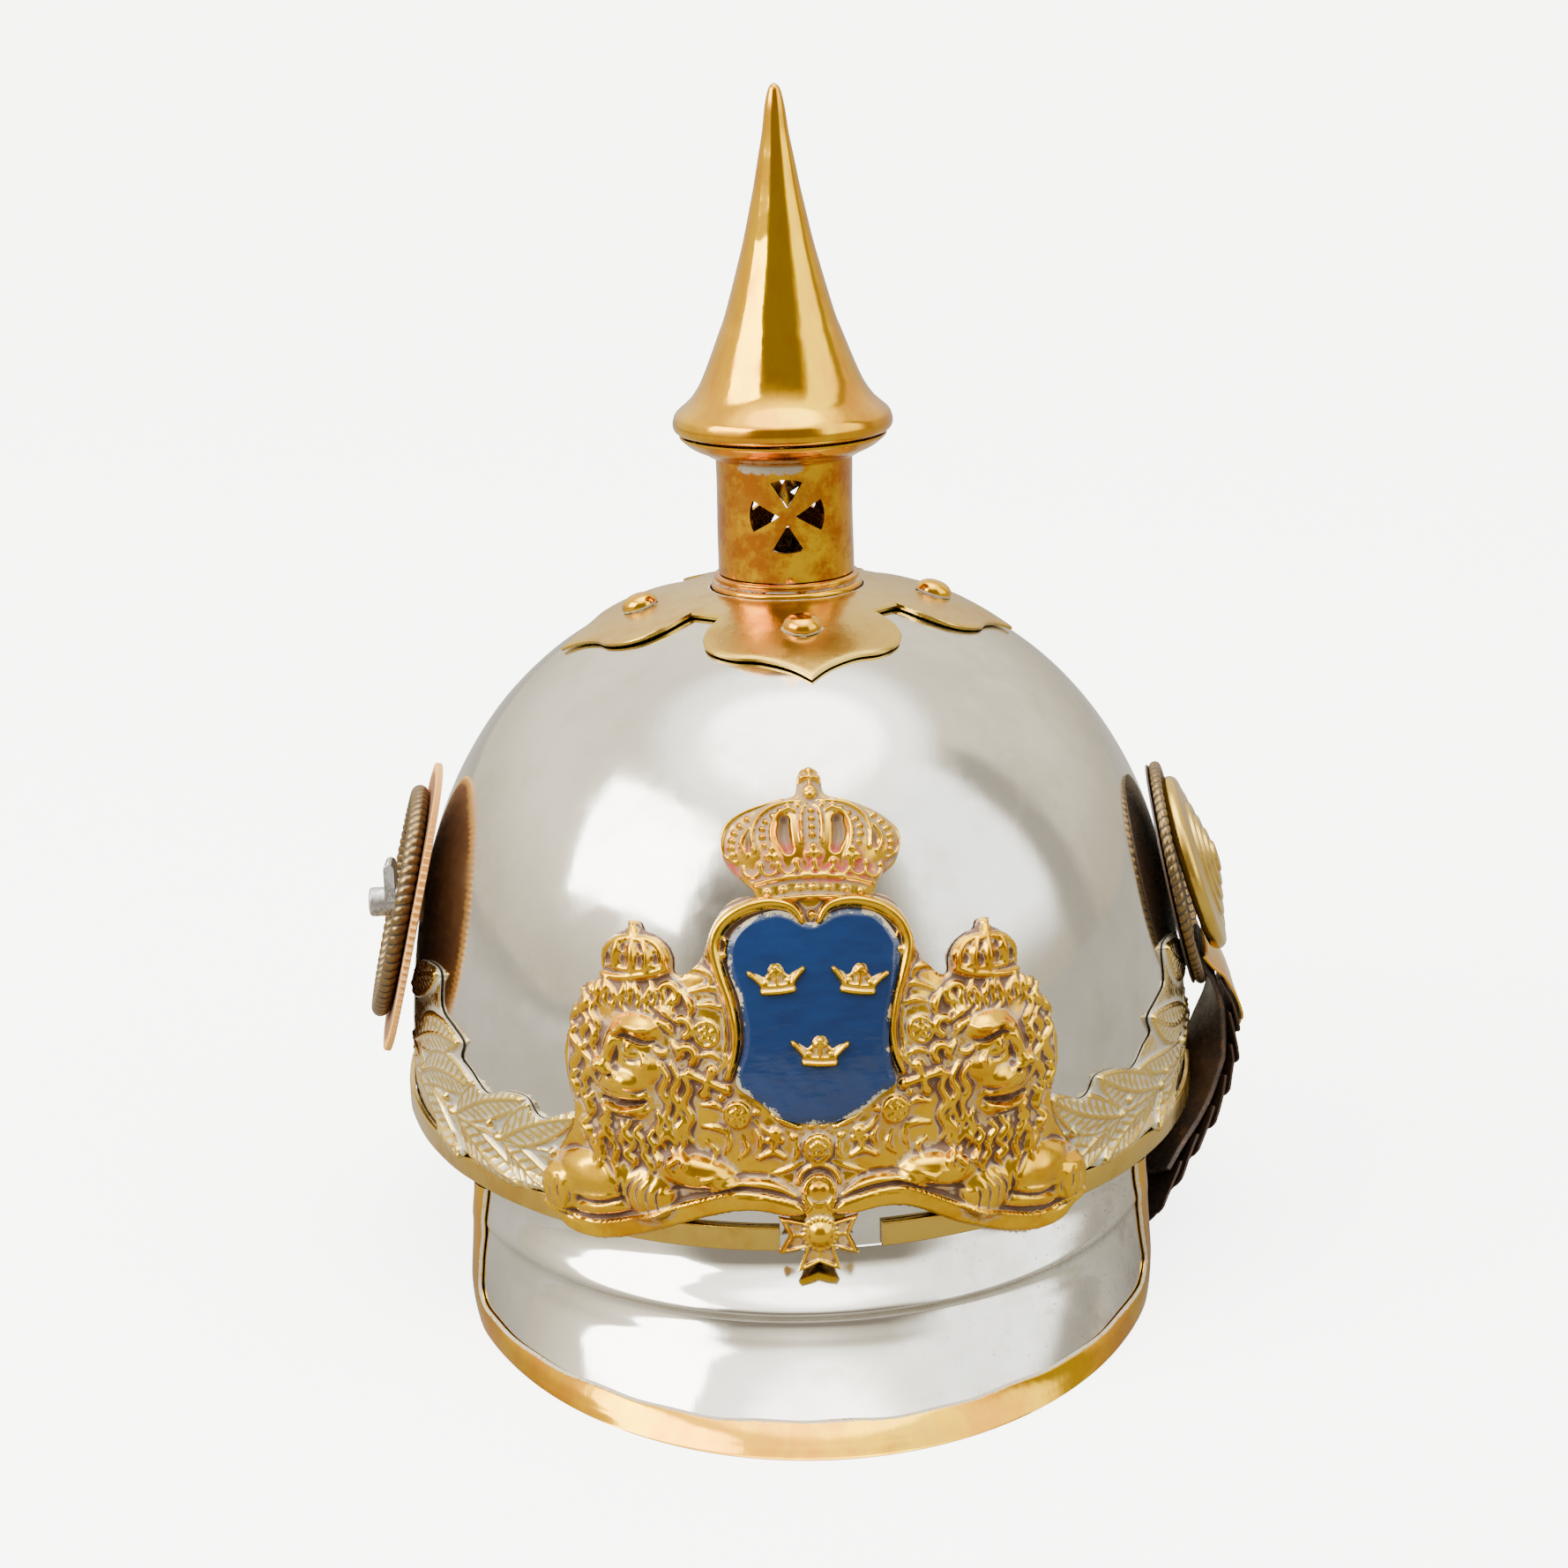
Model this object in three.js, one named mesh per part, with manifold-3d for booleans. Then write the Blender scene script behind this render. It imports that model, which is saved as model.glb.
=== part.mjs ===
// Spiked cavalry parade helmet: a white-metal skull with brass fittings, standing on the
// front edge of its visor and the back edge of its neck guard.
// Millimetres, +Z up. The front of the helmet faces -Y and the wearer's left is +X.
// The model is centred on its own bounding box, with the floor at z = 0.

import * as THREE from 'three';
import { mergeVertices } from 'three/addons/utils/BufferGeometryUtils.js';
import Module from 'manifold-3d';

const wasm = await Module();
wasm.setup();

// ---------------------------------------------------------------- driving dimensions
const RIM_HEIGHT = 34; // height of the skull's lower rim above the floor
const SKULL = {
  halfWidth: 97, depthRatio: 1.13, rise: 124.8, sideFullness: 2.578, topFullness: 2.333, wall: 1.2,
};
const VENT_HOLE_RADIUS = 12; // hole through the top of the skull, under the spike's neck
const GAP = 0.3; // clearance kept between touching pieces

const BAND = { height: 5.6, thickness: 1.3, start: 0.14, end: 0.11 }; // ends are angles from the front
const VISOR = { halfAngle: 53.5, spread: 1.375, edgeX: 84, edgeY: 109.5, edgeCentreY: -30, wall: 1 };
const NAPE = { halfAngle: 77, spread: 1.1, edgeX: 88, edgeY: 130, edgeCentreY: 20, wall: 1 };
const EDGE_HEIGHT = 1.2; // height of both guards' lower edges, inside their folded brass trim
const GROUND = { width: 400, depth: 20 }; // block below the floor that files the trims flat
const TRIM = { width: 5.2, lip: 3.6, sheet: 0.6, clearance: 0.28, cap: 0.85, capBelow: 2.2 };

const NECK = { radius: 16.5, wall: 1.2, bottom: 129, top: 158.5 }; // heights are above the rim
const COLLAR = { radius: 18, bottom: 124.6, top: 128.7 };
const VENT = { height: 145, innerRadius: 1.9, outerRadius: 8.9, halfAngle: 25 };
const DISH = { neckZ: 157.2, lipZ: 162.6, lipRadius: 25 };
const SPIKE = { wall: 1.1, base: 163, tip: 244.4, hollowTop: 226 };

const CROSS = { yaw: 3.5, seat: 0.45, thickness: 1, tip: 55, innerRadius: 18.6 };
const STUD = { radius: 4.5, seat: 35.5, rise: 3.2 };

const STAR = { tip: 10.2, notch: 7.2, narrowing: 0.92, tilt: 6, standOff: 4.1, height: 4 };

const LEATHER_DISC = { radius: 36, thickness: 2.3 };
const ROPE_LEFT = { radius: 29, rim: 2.1, floor: 0.9 };
const ROPE_RIGHT = { radius: 28, rim: 1.35, floor: 0.7 };
const BACKING_DISC = { radius: 27.5, thickness: 0.5 };
const BOSS = { radius: 22.2, rim: 2.1, rise: 6.2, steps: 5, standOff: 7 };
const POST = { radius: 3.65, reach: 105.5, finThickness: 2.8, finRise: 6.8, finWidth: 7 };

const SCALES = { count: 8, pitch: 8.6, length: 15.5, sheet: 0.7, lift: 2.4 };
const STRAP = { thickness: 1.4, topWidth: 25, endWidth: 17 };

// ---------------------------------------------------------------- materials
const metal = (color, roughness) => new THREE.MeshStandardMaterial({ color, roughness, metalness: 1 });
const whiteMetal = metal(0xcfccc4, 0.22);
const brass = metal(0xd2a544, 0.25);
const agedBrass = metal(0x9c7c4c, 0.4);
const steel = metal(0xb9b9b9, 0.25);
const laurelMetal = metal(0xc3b78d, 0.4);
const darkLeather = new THREE.MeshStandardMaterial({ color: 0x2c201a, roughness: 0.7 });
const tanLeather = new THREE.MeshStandardMaterial({ color: 0xc79a63, roughness: 0.8 });
const blueEnamel = new THREE.MeshStandardMaterial({ color: 0x133a78, roughness: 0.12 });

// ---------------------------------------------------------------- general helpers
const rad = THREE.MathUtils.degToRad;
const lerp = THREE.MathUtils.lerp;
const clamp = THREE.MathUtils.clamp;

const model = new THREE.Group();

function addPiece(name, geometry, material, parent = model) {
  const mesh = new THREE.Mesh(geometry, material);
  mesh.name = name;
  parent.add(mesh);
  return mesh;
}

/** Reads a value between listed [place, value] pairs, in straight lines. */
function along(pairs, place) {
  const last = pairs.length - 1;
  if (place <= pairs[0][0]) return pairs[0][1];
  for (let i = 0; i < last; i += 1) {
    const [a, b] = [pairs[i], pairs[i + 1]];
    if (place <= b[0]) return lerp(a[1], b[1], (place - a[0]) / (b[0] - a[0]));
  }
  return pairs[last][1];
}

/** Closed mesh from a list of sections, each the same closed loop of points. */
function loft(sections, closed) {
  const loopSize = sections[0].length;
  const points = sections.flat();
  const faces = [];
  const steps = closed ? sections.length : sections.length - 1;
  for (let i = 0; i < steps; i += 1) {
    const near = i * loopSize;
    const far = ((i + 1) % sections.length) * loopSize;
    for (let j = 0; j < loopSize; j += 1) {
      const k = (j + 1) % loopSize;
      faces.push([near + j, far + j, far + k], [near + j, far + k, near + k]);
    }
  }
  if (!closed) {
    for (const [start, flip] of [[0, false], [steps * loopSize, true]]) {
      for (let j = 0; j < loopSize / 2 - 1; j += 1) {
        const [a, b] = [start + j, start + j + 1];
        const [c, d] = [start + loopSize - 2 - j, start + loopSize - 1 - j];
        faces.push(flip ? [a, c, b] : [a, b, c], flip ? [a, d, c] : [a, c, d]);
      }
    }
  }
  return solidGeometry(points, faces);
}

/** Geometry from points and faces, turned so that its faces point out. */
function solidGeometry(points, faces) {
  let volume = 0;
  for (const [a, b, c] of faces) {
    volume += points[a].dot(new THREE.Vector3().crossVectors(points[b], points[c]));
  }
  const outward = volume > 0 ? faces : faces.map(([a, b, c]) => [a, c, b]);
  const geometry = new THREE.BufferGeometry();
  geometry.setAttribute('position', new THREE.Float32BufferAttribute(points.flatMap((p) => p.toArray()), 3));
  geometry.setIndex(outward.flat());
  return geometry;
}

/** Sheet of metal between two surfaces of (u, v), both running from 0 to 1. */
function sheet(outer, inner, countU, countV, closed = false) {
  const sections = [];
  const last = closed ? countU - 1 : countU;
  for (let i = 0; i <= last; i += 1) {
    const u = i / countU;
    const loop = [];
    for (let j = 0; j <= countV; j += 1) loop.push(outer(u, j / countV));
    for (let j = countV; j >= 0; j -= 1) loop.push(inner(u, j / countV));
    sections.push(loop);
  }
  return loft(sections, closed);
}

/** Solid of revolution about Z: its profile of [radius, height] starts and ends on the axis. */
function turned(profile, segments) {
  const outline = profile.map(([r, z]) => new THREE.Vector2(r, z));
  return toGeometry(toManifold(new THREE.LatheGeometry(outline, segments).rotateX(Math.PI / 2)));
}

/** A ring of revolution: its profile is closed on itself, away from the axis. */
const ring = (profile, segments) => turned([...profile, profile[0]], segments);

function toManifold(geometry) {
  const bare = geometry.clone();
  bare.deleteAttribute('normal');
  bare.deleteAttribute('uv');
  const merged = mergeVertices(bare, 1e-4);
  const vertProperties = merged.attributes.position.array;
  const build = (index) => new wasm.Manifold(
    new wasm.Mesh({ numProp: 3, vertProperties, triVerts: new Uint32Array(index) }),
  );
  const index = Array.from(merged.index.array);
  const solid = build(index);
  if (solid.volume() > 0) return solid;
  for (let i = 0; i < index.length; i += 3) [index[i + 1], index[i + 2]] = [index[i + 2], index[i + 1]];
  return build(index);
}

function toGeometry(solid) {
  const mesh = solid.getMesh();
  const geometry = new THREE.BufferGeometry();
  geometry.setAttribute('position', new THREE.Float32BufferAttribute(mesh.vertProperties, 3));
  geometry.setIndex(Array.from(mesh.triVerts));
  return geometry;
}

// ---------------------------------------------------------------- the skull's surface
const stepOfHeight = (h) => (2 / Math.PI) * Math.asin((h / SKULL.rise) ** (SKULL.sideFullness / 2));
const stepOfRadius = (r) => (2 / Math.PI) * Math.acos((r / SKULL.halfWidth) ** (SKULL.topFullness / 2));

/**
 * Point on the skull. The angle turns from the front towards the wearer's left, step runs up
 * the meridian from 0 at the rim to 1 at the top, and offset is the distance off the surface.
 */
function skullPoint(angle, step, offset = 0) {
  const c = Math.cos((step * Math.PI) / 2);
  const s = Math.max(Math.sin((step * Math.PI) / 2), 1e-6);
  const [side, top] = [2 / SKULL.sideFullness, 2 / SKULL.topFullness];
  const r = SKULL.halfWidth * c ** top;
  const radialSlope = SKULL.halfWidth * top * c ** (top - 1) * s;
  const heightSlope = SKULL.rise * side * s ** (side - 1) * c;
  const normal = new THREE.Vector3(
    heightSlope * Math.sin(angle), (-heightSlope * Math.cos(angle)) / SKULL.depthRatio, radialSlope,
  ).normalize();
  return new THREE.Vector3(
    r * Math.sin(angle), -SKULL.depthRatio * r * Math.cos(angle), RIM_HEIGHT + SKULL.rise * s ** side,
  ).addScaledVector(normal, offset);
}

// Length of the front meridian from the rim to each step.
const MERIDIAN_STEPS = 400;
const meridian = [[0, 0]];
for (let i = 1; i <= MERIDIAN_STEPS; i += 1) {
  const [before, here] = [(i - 1) / MERIDIAN_STEPS, i / MERIDIAN_STEPS];
  meridian.push([meridian[i - 1][0] + skullPoint(0, before).distanceTo(skullPoint(0, here)), here]);
}

/** Point on the skull's front, by distance across and up along the surface. */
function frontPoint(across, up, offset) {
  if (up < 0) return frontPoint(across, 0, offset).setZ(RIM_HEIGHT + up);
  const step = along(meridian, up);
  const radius = SKULL.halfWidth * Math.cos((step * Math.PI) / 2) ** (2 / SKULL.topFullness);
  return skullPoint(across / radius, step, offset);
}

// ---------------------------------------------------------------- skull and band
const topStep = stepOfRadius(VENT_HOLE_RADIUS);
addPiece('skull', sheet(
  (u, v) => skullPoint(u * 2 * Math.PI, v * topStep),
  (u, v) => skullPoint(u * 2 * Math.PI, v * topStep, -SKULL.wall),
  40, 9, true,
), whiteMetal);

// The band's ends stop short of each other at the front, behind the order star.
const bandStep = stepOfHeight(BAND.height);
const bandPoint = (offset) => (u, v) => {
  const angle = lerp(BAND.start, 2 * Math.PI - BAND.end, u);
  return skullPoint(angle, v * bandStep, offset);
};
addPiece('skull_band', sheet(bandPoint(GAP + BAND.thickness), bandPoint(GAP), 40, 1), brass);

// ---------------------------------------------------------------- visor and neck guard
/**
 * Surface of a guard that hangs from the rim and flares to an oval edge near the floor.
 * u runs -1..1 from end to end, v runs 0..1 from the rim down to the edge.
 */
function guardSurface(guard, centreAngle, flare) {
  const base = (u, v) => {
    const turn = rad(guard.halfAngle) * u;
    const front = Math.cos(centreAngle);
    const rimX = SKULL.halfWidth * Math.sin(turn);
    const rimY = -SKULL.depthRatio * SKULL.halfWidth * Math.cos(turn);
    const edgeX = guard.edgeX * Math.sin(turn * guard.spread);
    const edgeY = guard.edgeCentreY * front - guard.edgeY * Math.cos(turn * guard.spread);
    const out = flare(u, v);
    return new THREE.Vector3(
      front * lerp(rimX, edgeX, out), front * lerp(rimY, edgeY, out), lerp(RIM_HEIGHT - GAP, EDGE_HEIGHT, v),
    );
  };
  return (u, v, offset = 0) => {
    const d = 0.02;
    const acrossU = base(u + d, v).sub(base(u - d, v));
    const acrossV = base(u, v + d).sub(base(u, v - d));
    const normal = acrossV.cross(acrossU).normalize();
    if (normal.y * Math.cos(centreAngle) > 0) normal.negate();
    return base(u, v).addScaledVector(normal, offset);
  };
}

// Columns of a guard, shared with its trim: they crowd towards its ends.
const GUARD_COLUMNS = 26;
const columnPlace = (share) => Math.sin((share * 2 - 1) * (Math.PI / 2));

/** How far down a guard reaches at u: its lower corners are rounded off. */
const cornerDepth = (u, from, drop) => {
  const w = clamp((Math.abs(u) - from) / (1 - from), 0, 1);
  return 1 - drop * (1 - Math.sqrt(1 - w * w));
};

/** Brass sheet folded over a guard's ends and lower edge, and filed flat where it meets the floor. */
function foldedTrim(surface, guard, depthAt, size) {
  const [lengthU, lengthV] = size;
  const path = [];
  const sideSteps = 4;
  for (let i = 0; i < sideSteps; i += 1) path.push([-1, (depthAt(-1) * (i + 0.15)) / sideSteps]);
  for (let i = 0; i <= GUARD_COLUMNS; i += 1) {
    const u = columnPlace(i / GUARD_COLUMNS);
    path.push([u, depthAt(u)]);
  }
  for (let i = sideSteps - 1; i >= 0; i -= 1) path.push([1, (depthAt(1) * (i + 0.15)) / sideSteps]);

  const sections = path.map(([u, v], i) => {
    const [before, after] = [path[Math.max(i - 1, 0)], path[Math.min(i + 1, path.length - 1)]];
    const [stepU, stepV] = [after[0] - before[0], after[1] - before[1]];
    const run = new THREE.Vector2(stepU * lengthU, stepV * lengthV).normalize();
    const inward = new THREE.Vector2(run.y / lengthU, -run.x / lengthV);
    const cap = TRIM.cap + TRIM.capBelow * Math.max(0, run.x) ** 2;
    const outside = TRIM.clearance;
    const inside = -guard.wall - TRIM.clearance;
    const section = [
      [TRIM.width, outside], [TRIM.width, outside + TRIM.sheet], [-cap, outside + TRIM.sheet],
      [-cap, inside - TRIM.sheet], [TRIM.lip, inside - TRIM.sheet], [TRIM.lip, inside],
      [-TRIM.clearance, inside], [-TRIM.clearance, outside],
    ];
    return section.map(([w, offset]) => surface(u + inward.x * w, v + inward.y * w, offset));
  });
  const { width, depth } = GROUND;
  const ground = new THREE.BoxGeometry(width, width, depth).translate(0, 0, -depth / 2);
  return toGeometry(toManifold(loftChannel(sections)).subtract(toManifold(ground)));
}

/** Loft of U-shaped sections of eight points, with a cap of three quads at each end. */
function loftChannel(sections) {
  const points = sections.flat();
  const faces = [];
  for (let i = 0; i < sections.length - 1; i += 1) {
    for (let j = 0; j < 8; j += 1) {
      const k = (j + 1) % 8;
      faces.push([i * 8 + j, i * 8 + 8 + j, i * 8 + 8 + k], [i * 8 + j, i * 8 + 8 + k, i * 8 + k]);
    }
  }
  const quads = [[0, 1, 2, 7], [7, 2, 3, 6], [6, 3, 4, 5]];
  const end = (sections.length - 1) * 8;
  for (const [a, b, c, d] of quads) {
    faces.push([a, b, c], [a, c, d], [end + a, end + c, end + b], [end + a, end + d, end + c]);
  }
  return solidGeometry(points, faces);
}

// The visor steps out to a ridge a third of the way down, then sweeps out to its edge.
const VISOR_FLARE = [[-0.1, -0.09], [0, 0], [0.35, 0.3], [0.39, 0.295], [0.6, 0.53], [1, 1], [1.2, 1.22]];
const ridgeShift = (u) => 0.11 * Math.abs(u) ** 8;
const visorFlare = (u, v) => along(VISOR_FLARE, v + ridgeShift(u) * Math.sin(Math.PI * clamp(v, 0, 1)));
const visorSurface = guardSurface(VISOR, 0, visorFlare);
const visorDepth = (u) => cornerDepth(u, 0.88, 0.26);
const VISOR_ROWS = [0, 0.17, 0.34, 0.39, 0.6, 0.8, 1];
const visorPoint = (offset) => (a, b) => {
  const u = columnPlace(a);
  return visorSurface(u, along(VISOR_ROWS.map((v, i) => [i / 6, v]), b) * visorDepth(u), offset);
};
addPiece('visor', sheet(visorPoint(0), visorPoint(-VISOR.wall), GUARD_COLUMNS, 6), whiteMetal);
addPiece('visor_trim', foldedTrim(visorSurface, VISOR, visorDepth, [100, 44]), brass);

const NAPE_FLARE = [[-0.1, 0], [0, 0], [0.25, 0.1], [0.5, 0.33], [0.75, 0.64], [1, 1], [1.2, 1.3]];
const napeSurface = guardSurface(NAPE, Math.PI, (u, v) => along(NAPE_FLARE, v));
const napeDepth = (u) => cornerDepth(u, 0.6, 0.62);
const napePoint = (offset) => (a, b) => napeSurface(columnPlace(a), b * napeDepth(columnPlace(a)), offset);
addPiece('neck_guard', sheet(napePoint(0), napePoint(-NAPE.wall), GUARD_COLUMNS, 4), whiteMetal);
addPiece('neck_trim', foldedTrim(napeSurface, NAPE, napeDepth, [150, 50]), brass);

// ---------------------------------------------------------------- crown mount
/** Point over the skull's top, by its true radius and angle in plan about the spike. */
function topPoint(angle, radius, offset) {
  const turn = angle + rad(CROSS.yaw);
  const [x, y] = [radius * Math.sin(turn), (radius * Math.cos(turn)) / SKULL.depthRatio];
  return skullPoint(Math.atan2(x, y), stepOfRadius(Math.hypot(x, y)), offset);
}

// Half of one lobe: distance along its axis, and half its width there.
const LOBE = [
  [CROSS.tip, 0], [51, 4.5], [47, 11], [44.5, 17], [40, 21.6], [35, 23], [29.5, 21.3], [25, 17.5],
];
const outline = [];
for (let lobe = 0; lobe < 4; lobe += 1) {
  const turn = (lobe * Math.PI) / 2;
  const place = ([d, w]) => [turn + Math.atan2(w, d), Math.hypot(d, w)];
  LOBE.slice(1).reverse().forEach(([d, w]) => outline.push(place([d, -w])));
  LOBE.forEach(([d, w]) => outline.push(place([d, w])));
}
const crossPoint = (offset) => (u, v) => {
  const [angle, reach] = outline[Math.round(u * outline.length) % outline.length];
  return topPoint(angle, lerp(CROSS.innerRadius, reach, v), offset);
};
addPiece('cross_plate', sheet(
  crossPoint(CROSS.seat + CROSS.thickness), crossPoint(CROSS.seat), outline.length, 3, true,
), brass);

['front', 'left', 'back', 'right'].forEach((side, i) => {
  const angle = (i * Math.PI) / 2;
  const seat = (offset) => topPoint(angle, STUD.seat, offset);
  const head = [
    [0, 0], [STUD.radius, 0], [STUD.radius * 0.97, 0.8], [STUD.radius * 0.7, 2.3], [0, STUD.rise],
  ];
  const stud = addPiece(`stud_${side}`, turned(head, 14), brass);
  stud.position.copy(seat(CROSS.seat + CROSS.thickness + GAP));
  stud.quaternion.setFromUnitVectors(new THREE.Vector3(0, 0, 1), seat(1).sub(seat(0)).normalize());
});

const neckBore = NECK.radius - NECK.wall;
const collarProfile = [
  [neckBore, COLLAR.bottom], [COLLAR.radius, COLLAR.bottom], [COLLAR.radius, COLLAR.bottom + 2.4],
  [COLLAR.radius - 0.8, COLLAR.bottom + 3], [COLLAR.radius - 0.8, COLLAR.top], [neckBore, COLLAR.top],
];
addPiece('neck_collar', ring(collarProfile, 24), brass).position.z = RIM_HEIGHT;

/** One sector of the vent's pattern, as a prism that passes through the neck's wall. */
function ventSector(centreAngle) {
  const shape = new THREE.Shape();
  const half = rad(VENT.halfAngle);
  const spot = (r, a) => [r * Math.cos(centreAngle + a), r * Math.sin(centreAngle + a)];
  shape.moveTo(...spot(VENT.innerRadius, 0));
  for (let i = -3; i <= 3; i += 1) shape.lineTo(...spot(VENT.outerRadius, (i / 3) * half));
  const depth = 3 * NECK.radius;
  const prism = new THREE.ExtrudeGeometry(shape, { depth, bevelEnabled: false });
  return toManifold(prism.translate(0, 0, -depth / 2).rotateX(Math.PI / 2).translate(0, 0, VENT.height));
}

const neckProfile = [
  [neckBore, NECK.bottom], [NECK.radius, NECK.bottom], [NECK.radius, NECK.top], [neckBore, NECK.top],
];
let neck = toManifold(ring(neckProfile, 24));
for (let i = 0; i < 4; i += 1) neck = neck.subtract(ventSector((i * Math.PI) / 2));
addPiece('vent_neck', toGeometry(neck), brass).position.z = RIM_HEIGHT;

// Cupped underside of the spike: it rises from the neck to a rounded lip.
const dishOuter = [
  [NECK.radius + GAP, DISH.neckZ], [19.2, 158], [22.6, 159.6], [24.6, 161.4], [DISH.lipRadius, DISH.lipZ],
];
const dishInner = [[DISH.lipRadius - 1.4, DISH.lipZ], [22, 160.9], [19, 159.2], [NECK.radius + GAP, 158.4]];
addPiece('spike_dish', ring([...dishOuter, ...dishInner], 24), brass).position.z = RIM_HEIGHT;

// Trumpet-shaped spike, hollow, open below.
const SPIKE_OUTLINE = [
  [24.6, SPIKE.base], [26.4, 164.6], [25.9, 167], [22.2, 170.8], [19, 175.6], [17, 180.6], [14.6, 186.9],
  [11.6, 196.2], [8.2, 208.6], [5.5, 220.9], [3.2, 233], [1.6, 241.6],
];
const spikeInside = SPIKE_OUTLINE.slice(0, 10).map(([r, z]) => [r - SPIKE.wall, z]);
const spikeProfile = [[0, SPIKE.tip], ...SPIKE_OUTLINE.toReversed(), ...spikeInside, [0, SPIKE.hollowTop]];
addPiece('spike', turned(spikeProfile, 20), brass).position.z = RIM_HEIGHT;

// ---------------------------------------------------------------- front plate
const PLATE_TOP = [
  [0, 78.5], [16, 78.5], [20, 75], [24, 65], [28, 60.5], [32, 60.5], [34, 66], [38, 70.5], [42, 70.5],
  [46, 66], [48, 60], [52, 55], [56, 45], [57, 30], [59, 21], [62, 15], [64.5, 8],
];
const PLATE_BOTTOM = [
  [0, 9.5], [12, 10.5], [20, 9.5], [30, 5.5], [40, 1.5], [48, -1.2], [58, -1.2], [64.5, 3],
];
const PLATE_HALF = 64;
const PLATE_BUMPS = [ // across, up, half-width, half-height, rise
  [43, 44, 17, 23, 6.5], [55, 9, 9, 8, 4], [31, 14, 16, 7, 3.5], [40, 65, 8, 7, 1.5], [24, 54, 3.5, 26, 2],
];
const plateRise = (across, up) => PLATE_BUMPS.reduce((rise, [x, z, w, h, height]) => {
  const distance = ((Math.abs(across) - x) / w) ** 2 + ((up - z) / h) ** 2;
  return Math.max(rise, height * Math.sqrt(Math.max(0, 1 - distance)));
}, 0);
const plateSeat = (up) => along([[12, 2 * GAP + BAND.thickness], [18, GAP]], up);
const platePoint = (back) => (u, v) => {
  const across = (u * 2 - 1) * PLATE_HALF;
  const up = lerp(along(PLATE_BOTTOM, Math.abs(across)), along(PLATE_TOP, Math.abs(across)), v);
  return frontPoint(across, up, back ? plateSeat(up) : plateSeat(up) + 1.3 + plateRise(across, up));
};
addPiece('front_plate', sheet(platePoint(false), platePoint(true), 40, 8), brass);

const CROWN_TOP = [[0, 108], [2.6, 107], [3.2, 102.5], [8, 101], [13, 98.5], [18, 93.5], [20, 90]];
const CROWN_BOTTOM = [[0, 79], [13, 79], [14.5, 81], [18, 84], [20, 88.5]];
const crownPoint = (back) => (u, v) => {
  const across = (u * 2 - 1) * 20;
  const up = lerp(along(CROWN_BOTTOM, Math.abs(across)), along(CROWN_TOP, Math.abs(across)), v);
  const bulge = Math.sqrt(Math.max(0, 1 - (across / 20.5) ** 2)) * Math.sin(Math.PI * clamp(v, 0.15, 0.85));
  const rise = 2 + 3 * bulge;
  return frontPoint(across, up, back ? GAP : GAP + rise);
};
addPiece('crown_badge', sheet(crownPoint(false), crownPoint(true), 14, 4), brass);

const FIELD_TOP = [[0, 72], [2, 72], [5, 73.5], [12, 73.5], [18, 69]];
const FIELD_BOTTOM = [[0, 30], [8, 31.5], [13, 34.5], [16.5, 39], [18, 46]];
const fieldPoint = (lift) => (u, v) => {
  const across = (u * 2 - 1) * 18;
  const up = lerp(along(FIELD_BOTTOM, Math.abs(across)), along(FIELD_TOP, Math.abs(across)), v);
  return frontPoint(across, up, 2 * GAP + 1.3 + lift);
};
addPiece('enamel_shield', sheet(fieldPoint(1.1), fieldPoint(0), 10, 4), blueEnamel);

// A small crown: circlet, three points and the dips between them.
const SMALL_CROWN = [
  [-3.6, -2.6], [3.6, -2.6], [4.1, -0.4], [5.8, 2.6], [2.6, 1], [0, 3.4], [-2.6, 1], [-5.8, 2.6],
  [-4.1, -0.4],
];
[[-8.6, 60.5], [9, 60.5], [0.3, 45]].forEach(([across, up], i) => {
  const at = frontPoint(across, up, 2.1 + 3 * GAP + 1.3);
  const out = frontPoint(across, up, 6).sub(at).normalize();
  const shape = new THREE.Shape(SMALL_CROWN.map(([x, y]) => new THREE.Vector2(x, y)));
  const plate = new THREE.ExtrudeGeometry(shape, { depth: 1, bevelEnabled: false });
  const crown = addPiece(`field_crown_${i + 1}`, plate, brass);
  const right = new THREE.Vector3(0, 0, 1).cross(out).normalize();
  crown.quaternion.setFromRotationMatrix(new THREE.Matrix4().makeBasis(right, out.clone().cross(right), out));
  crown.position.copy(at);
});

// Order star: eight points, hung over the band and the top of the visor.
const star = new THREE.Shape();
for (let i = 0; i < 16; i += 1) {
  const radius = i % 2 ? STAR.notch : STAR.tip;
  const angle = ((i + 1) * Math.PI) / 8;
  star[i ? 'lineTo' : 'moveTo'](STAR.narrowing * radius * Math.sin(angle), radius * Math.cos(angle));
}
const starPlate = new THREE.ExtrudeGeometry(star, { depth: 2, bevelEnabled: false });
const starPiece = addPiece('order_star', starPlate, brass);
starPiece.rotation.x = Math.PI / 2 - rad(STAR.tilt);
starPiece.position.set(0, -SKULL.depthRatio * SKULL.halfWidth - STAR.standOff, RIM_HEIGHT + STAR.height);

// Laurel branches lie on the skull above the band, one on each side.
const LAUREL_TOP = [[65.5, 27], [90, 27], [105, 31], [122, 36]];
const LAUREL_ENDS = [65.5, 122];
const LAUREL_BOTTOM = [[65.5, 7], [110, 7], [122, 20]];
for (const [side, name] of [[-1, 'laurel_right'], [1, 'laurel_left']]) {
  const laurelPoint = (offset) => (u, v) => {
    const across = lerp(...LAUREL_ENDS, u);
    const up = lerp(along(LAUREL_BOTTOM, across), along(LAUREL_TOP, across), v);
    return frontPoint(side * across, up, offset);
  };
  addPiece(name, sheet(laurelPoint(GAP + 1.2), laurelPoint(GAP), 14, 2), laurelMetal);
}

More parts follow.
